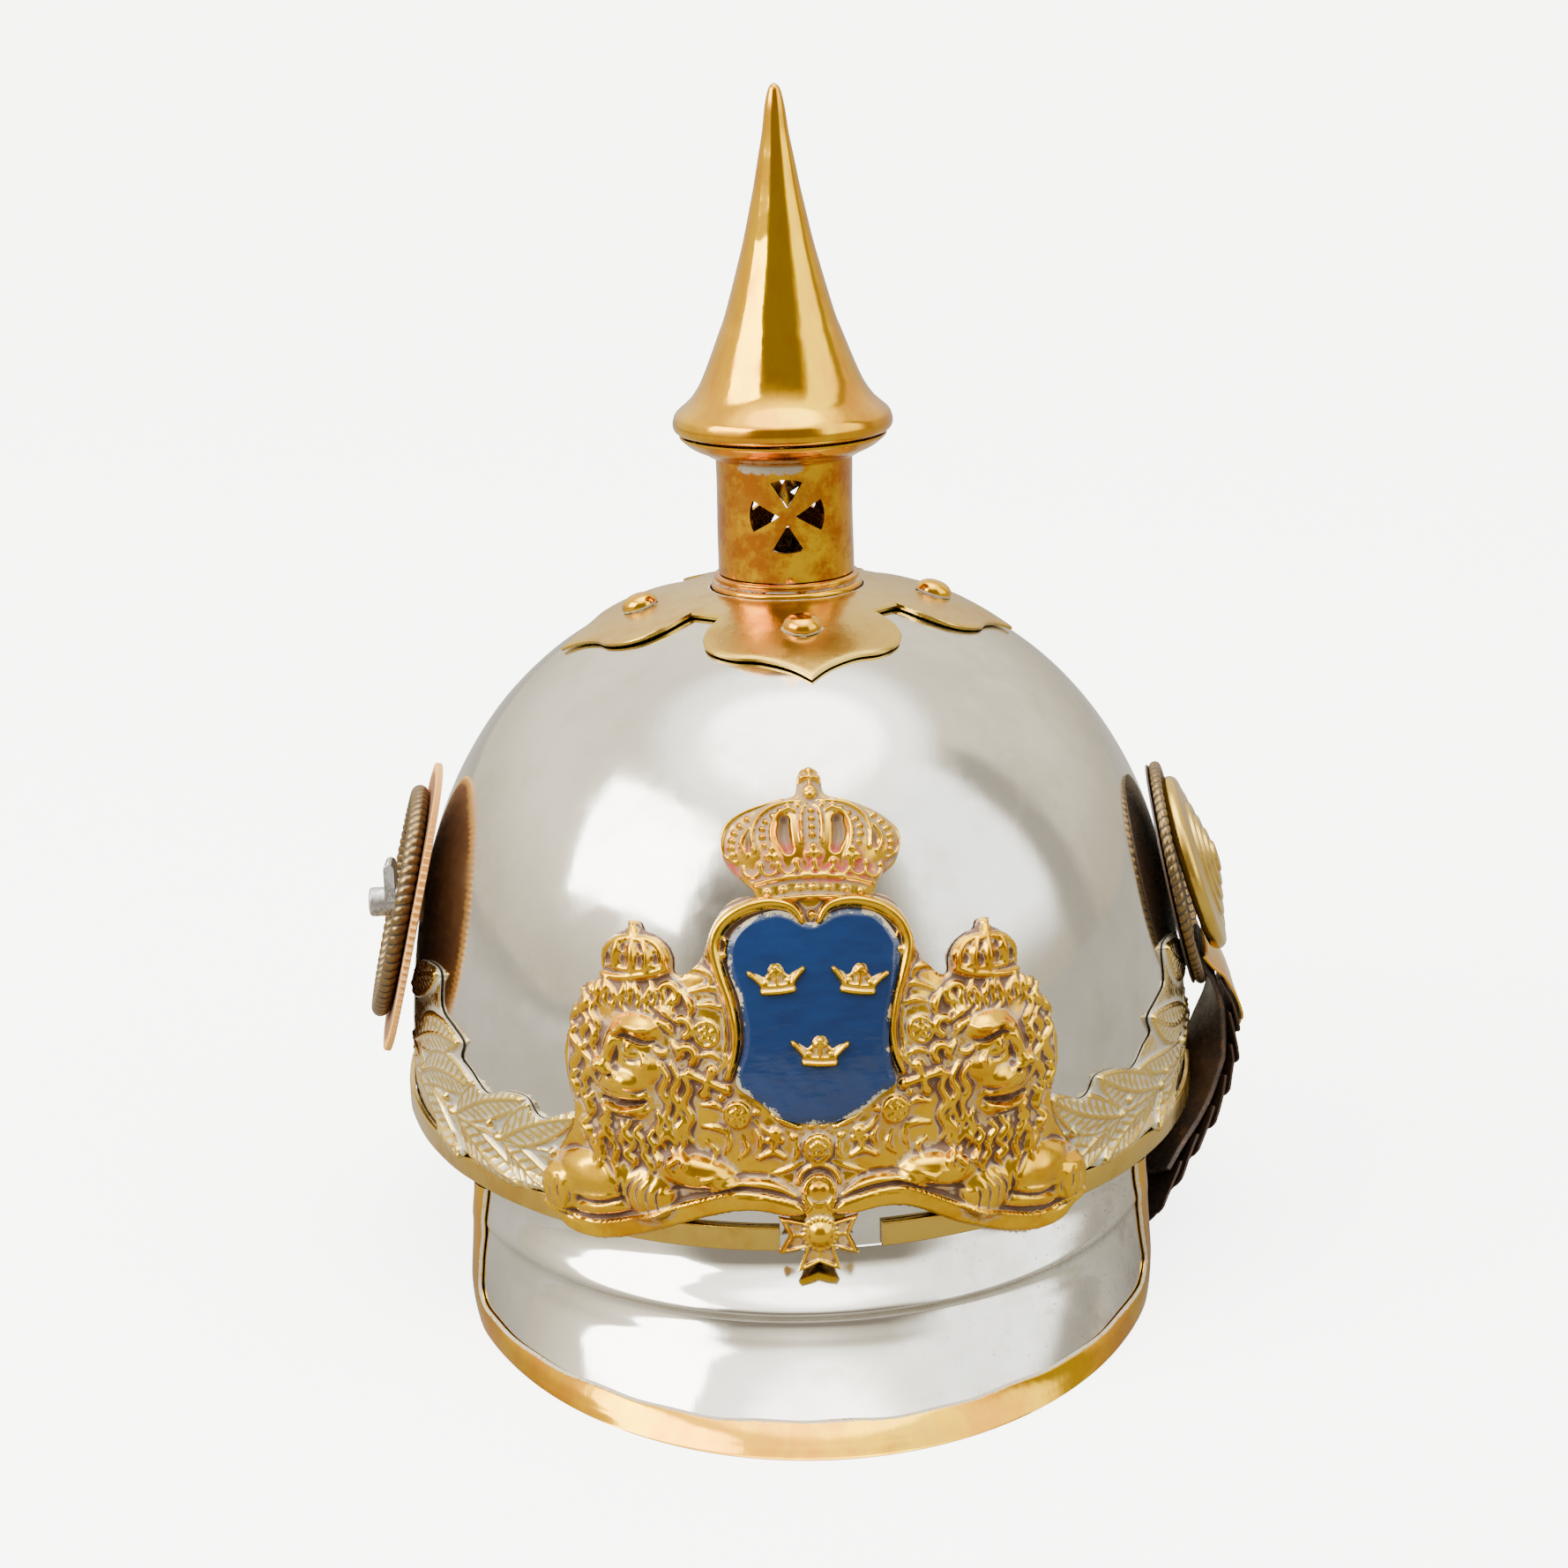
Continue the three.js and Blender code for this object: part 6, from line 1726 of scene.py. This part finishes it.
def make_world():
    """Studio surroundings by direction: bright overhead, warm walls, a cool fill and a dim camera side."""
    world = bpy.data.worlds.new("Studio surroundings")
    bpy.context.scene.world = world
    world.use_nodes = True
    n = Nodes(world.node_tree)
    direction = n.add("TexCoord", {}, "Generated")
    parts = world.node_tree.nodes.new("ShaderNodeSeparateXYZ")
    n.put(parts.inputs[0], direction)
    x, y, z = parts.outputs
    turn = n.math("MULTIPLY", n.math("ARCTAN2", x, n.math("MULTIPLY", y, -1.0)), 180 / np.pi)

    def between(low, high, soft):
        return n.math("MULTIPLY", n.fit(turn, low - soft, low + soft), n.fit(turn, high + soft, high - soft))

    low = n.mix(n.fit(turn, -20.0, 30.0), (1.25, 1.12, 0.88), (0.95, 0.85, 0.66))
    high = n.mix(n.fit(turn, -20.0, 30.0), (2.1, 1.95, 1.6), (1.8, 1.65, 1.35))
    walls = n.mix(n.fit(z, 0.0, 0.5), low, high)
    fill = n.math("MULTIPLY", between(42, 90, 5), n.fit(z, 0.05, 0.3))
    walls = n.mix(fill, walls, (3.8, 3.9, 3.9))
    walls = n.mix(n.math("MULTIPLY", between(93, 106, 3), n.fit(z, 0.85, 0.70)), walls, (0.72, 0.66, 0.56))
    dim = n.math("MULTIPLY", between(-42, 38, 9), n.fit(z, 0.85, 0.6))
    walls = n.mix(dim, walls, (0.42, 0.37, 0.30))
    above = n.mix(n.fit(z, 0.78, 0.90), walls, (4.2, 4.2, 4.1))
    sky = n.mix(n.fit(z, 0.91, 0.96), above, (9.0, 9.0, 8.8))
    background = world.node_tree.nodes["Background"]
    n.put(background.inputs["Color"], sky)


def make_softbox(name, azimuth, elevation, distance, size, radiance, colour, roll=0.0):
    """Rectangular area light that faces the helmet; azimuth 0 is in front and positive towards +X."""
    a, e = np.radians(azimuth), np.radians(elevation)
    towards = Vector((np.sin(a) * np.cos(e), -np.cos(a) * np.cos(e), np.sin(e)))
    lamp = bpy.data.lights.new(name, "AREA")
    lamp.shape = "RECTANGLE"
    lamp.size, lamp.size_y = size
    lamp.energy = radiance * np.pi * size[0] * size[1]
    lamp.color = colour
    softbox = bpy.data.objects.new(name, lamp)
    softbox.location = Vector((0, 0, HELMET_MIDDLE)) + towards * distance
    softbox.rotation_euler = towards.to_track_quat("Z", "Y").to_euler()
    softbox.rotation_euler.rotate_axis("Z", np.radians(roll))
    bpy.context.scene.collection.objects.link(softbox)


def make_camera():
    """Camera a little above and to the wearer's right, tilted down, with its head leaning slightly."""
    lens = bpy.data.cameras.new("Camera")
    lens.lens = VIEW["lens"]
    lens.sensor_width = 36
    camera = bpy.data.objects.new("Camera", lens)
    camera.location = Vector((VIEW["place"] + ORIGIN) / 1000)
    yaw, pitch = VIEW["yaw"], VIEW["pitch"]
    forward = Vector((np.sin(yaw) * np.cos(pitch), np.cos(yaw) * np.cos(pitch), -np.sin(pitch)))
    camera.rotation_euler = forward.to_track_quat("-Z", "Y").to_euler()
    camera.rotation_euler.rotate_axis("Z", VIEW["lean"])
    bpy.context.scene.collection.objects.link(camera)
    bpy.context.scene.camera = camera


make_floor()
make_world()
make_softbox("Key softbox", -66, 37, 1.5, (1.15, 0.80), 13.0, (1.0, 0.99, 0.97), 8)
make_camera()
